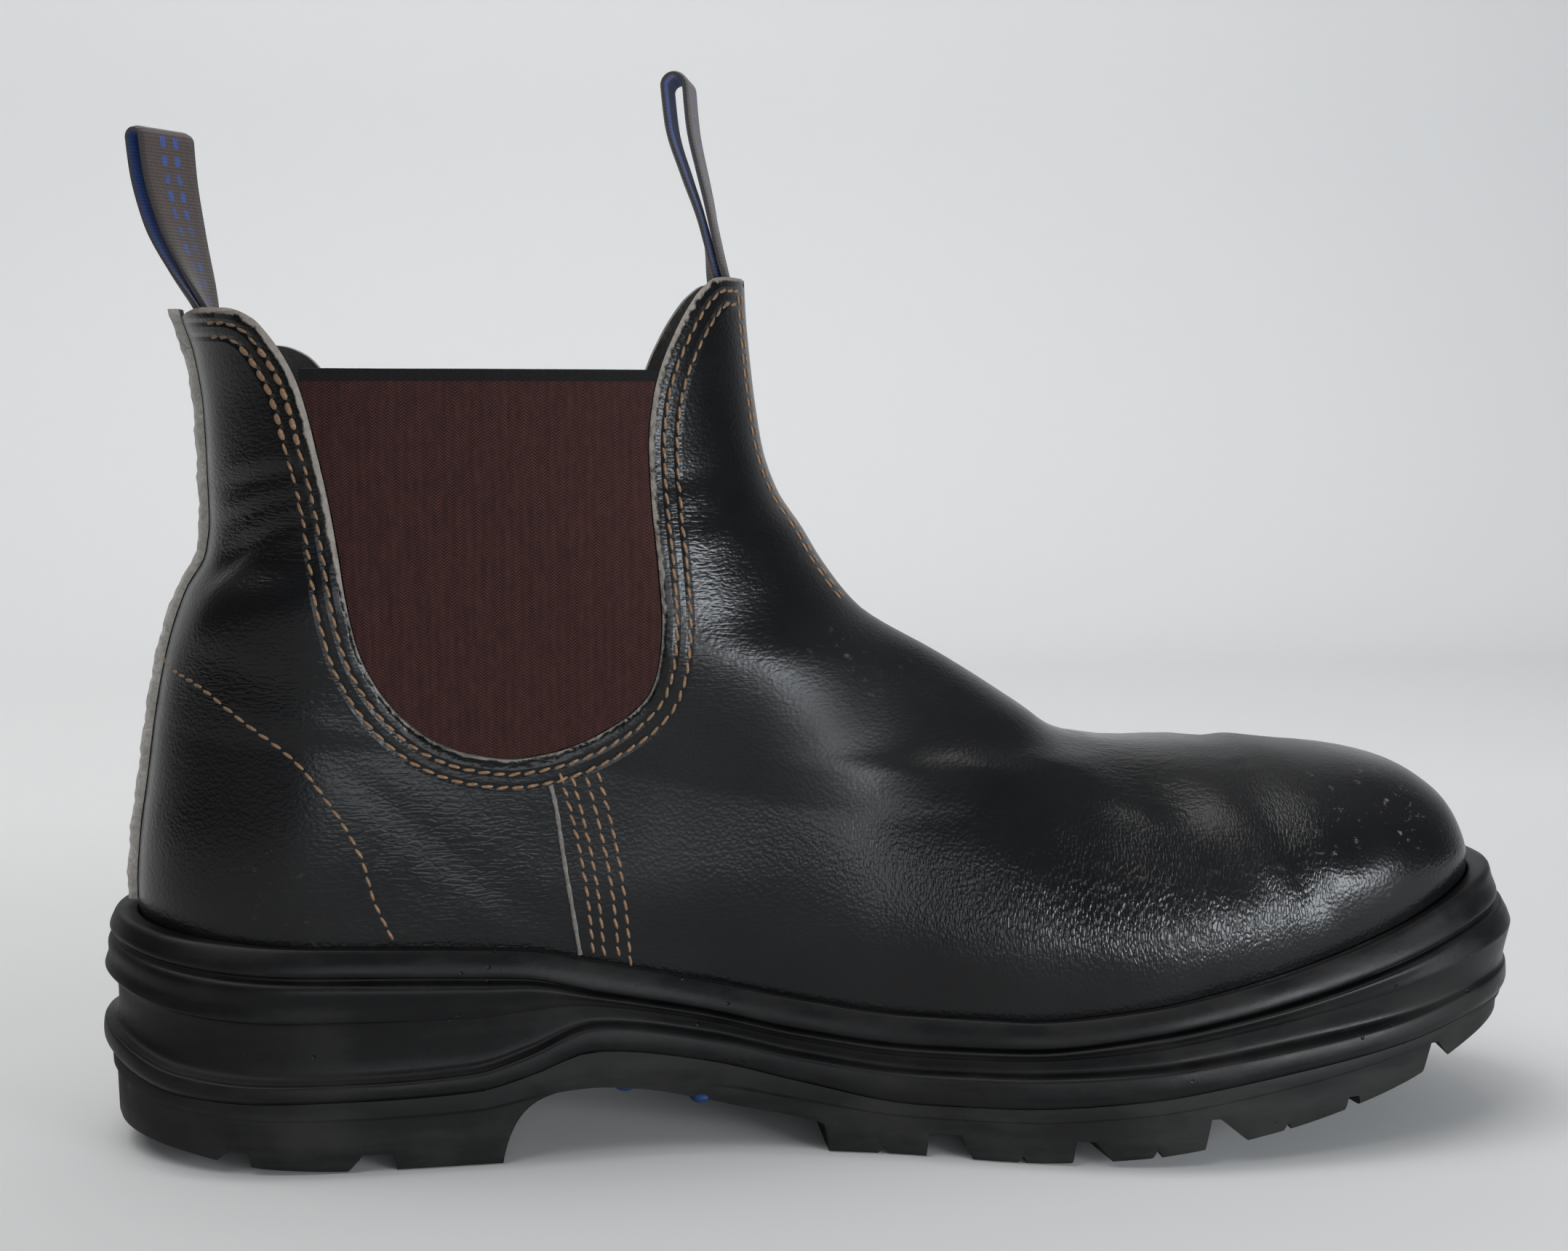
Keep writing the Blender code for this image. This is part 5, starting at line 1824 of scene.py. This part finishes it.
@dataclass(frozen=True)
class Studio:
    """Pale sweep, soft lights and the photograph's camera."""

    lens: float = 3000.0 / 2156 * 36
    distance: float = 0.467
    yaw: float = 7.0
    pitch: float = 6.0
    target: Triple = (-0.0075, 0.0, 0.105)

    def camera(self) -> None:
        """Places the camera at the photograph's angle."""
        yaw, pitch = math.radians(self.yaw), math.radians(self.pitch)
        look = Vector((math.sin(yaw) * math.cos(pitch), math.cos(yaw) * math.cos(pitch), -math.sin(pitch)))
        right = Vector((math.cos(yaw), -math.sin(yaw), 0))
        up = right.cross(look)
        data = bpy.data.cameras.new("camera")
        data.lens, data.sensor_width, data.clip_start = self.lens, 36, 0.01
        made = bpy.data.objects.new("camera", data)
        bpy.context.scene.collection.objects.link(made)
        place = Matrix((right, up, -look)).transposed().to_4x4()
        place.translation = Vector(self.target) - look * self.distance
        made.matrix_world = place
        bpy.context.scene.camera = made

    def sweep(self) -> None:
        """A floor that curves up into a backdrop, its colour painted darker towards the camera as shade."""
        bend, back, rows = 0.35, 0.75, []
        for y in np.linspace(-3.0, back, 8):
            rows.append((y, 0.0))
        for a in np.linspace(0, math.pi / 2, 16)[1:]:
            rows.append((back + bend * math.sin(a), bend * (1 - math.cos(a))))
        rows.append((back + bend, 3.0))
        points = [(x, y, z) for y, z in rows for x in (-3.5, 3.5)]
        faces = [(2 * i, 2 * i + 1, 2 * i + 3, 2 * i + 2) for i in range(len(rows) - 1)]
        floor = mesh_object("sweep", np.array(points), faces)
        smooth_shade(floor)
        g = Graph("Pale sweep")
        # painted shade: the floor's colour darkens from 0.74 to 0.50 towards the camera, which also darkens
        # its reflection in the leather
        near = g.range(g.axes()[1], -0.25, 0.35, 0, 1)
        colour = g.mix(near, (0.50, 0.50, 0.495), (0.74, 0.74, 0.74))
        floor.data.materials.append(g.set(Base_Color=colour, Roughness=0.85, Specular_IOR_Level=0.2))

    def light(self, name: str, at: Triple, aim: Triple,
              size: tuple[float, float], power: float, colour: Colour = (1, 1, 1)) -> None:
        """One soft rectangular light.

        Args:
            name: Name of the light.
            at: Its place.
            aim: Point it faces.
            size: Width and height.
            power: Watts.
            colour: Its colour.
        """
        data = bpy.data.lights.new(name, "AREA")
        data.shape, data.size, data.size_y, data.energy, data.color = "RECTANGLE", *size, power, colour
        made = bpy.data.objects.new(name, data)
        bpy.context.scene.collection.objects.link(made)
        made.location = at
        made.rotation_euler = (Vector(aim) - Vector(at)).to_track_quat("-Z", "Y").to_euler()

    def build(self) -> None:
        """Sets up camera, sweep, lights and a surround that is dark behind the camera."""
        self.camera()
        self.sweep()
        self.light("key", (-0.75, -0.25, 1.7), (0.0, 0.1, 0.05), (1.5, 1.2), 16.0)
        self.light("backdrop", (-0.2, 0.1, 1.5), (-0.1, 1.1, 0.35), (1.2, 0.6), 8.0)
        self.light("window", (0.57, -0.56, 0.12), (0.57, 0.0, 0.09), (0.62, 0.18), 7.8, (0.90, 0.95, 1.0))
        self.light("card", (0.02, -0.56, 0.12), (0.02, 0.0, 0.09), (0.46, 0.18), 0.9, (0.90, 0.95, 1.0))
        world = bpy.data.worlds.new("surround")
        world.use_nodes = True
        tree = world.node_tree
        where = tree.nodes.new("ShaderNodeSeparateXYZ")
        tree.links.new(tree.nodes.new("ShaderNodeTexCoord").outputs["Generated"], where.inputs[0])
        kinds = ("MapRange", "MapRange", "Math")
        behind, above, total = (tree.nodes.new(f"ShaderNode{kind}") for kind in kinds)
        for node, axis, reach in ((behind, 1, (0.1, 0.95, 0.04, 0.45)), (above, 2, (0.15, 1.0, 0.0, 0.25))):
            tree.links.new(where.outputs[axis], node.inputs[0])
            for key, value in enumerate(reach, start=1):
                node.inputs[key].default_value = value
            tree.links.new(node.outputs[0], total.inputs[0 if node is behind else 1])
        tree.links.new(total.outputs[0], tree.nodes["Background"].inputs["Strength"])
        tree.nodes["Background"].inputs["Color"].default_value = (0.95, 0.97, 1.0, 1.0)
        bpy.context.scene.world = world
        bpy.context.scene.view_settings.view_transform = "Standard"


def make_loops(form: BootForm) -> None:
    """Builds both pull loops.

    Args:
        form: The boot's shape.
    """
    finishes = [TapeFinish((0.058, 0.040, 0.035), (0.02, 0.06, 0.24)).make("Brown tape"),
                TapeFinish((0.012, 0.060, 0.26)).make("Blue tape")]
    share = (0.00, 0.25, 0.50, 0.75, 1.00)
    front = LoopShape(41.5 * MM, Curve(share, (0.00, -0.06, -0.135, -0.20, -0.225)),
                      Curve(share, (0.042, 0.050, 0.080, 0.105, 0.110)),
                      Curve(share, (0, 8, 11, 12, 12)), -2.6)
    rear = LoopShape(36.5 * MM, Curve(share, (0.00, -0.08, -0.150, -0.195, -0.215)),
                     Curve(share, (0.045, 0.070, 0.090, 0.091, 0.0915)),
                     Curve(share, (0, 16, 26, 31, 33)), 1.9)
    for name, shape, rise, forward in (("front", front, 1.0, 1), ("rear", rear, EDGE_RISE[2], -1)):
        top = form.seat_height + rise * form.upper_rise
        loop = PullLoop(f"{name}_loop_tape", f"{name}_pull_loop", shape, top, forward, form,
                        finishes=finishes)
        loop.build()


def dress_insole() -> None:
    """Gives the CAD footbed its cloth."""
    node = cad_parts["insole"]
    cloth = FeltFinish().make("Footbed cloth")
    for slot in node.material_slots:
        slot.material = cloth
    LOG.info("insole dressed")


def main() -> None:
    """Builds and dresses the boot, piece by piece, and sets the studio round it."""
    logging.basicConfig(level=logging.INFO, format="%(relativeCreated)d ms %(message)s", stream=sys.stdout)
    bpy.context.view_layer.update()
    Studio().build()
    upper = LeatherUpper(FORM)
    upper.build()
    Stitching(FORM, upper).build()
    OverlapEdge(FORM, upper).build()
    elastic = ElasticFinish().make("Maroon elastic")
    for side in Side:
        ElasticGore(FORM, side, elastic).build()
    BackSeam(FORM).build()
    make_loops(FORM)
    Midsole(FORM).build()
    Outsole(FORM).build()
    ArchStuds(FORM).build()
    dress_insole()


if __name__ == "__main__":
    main()
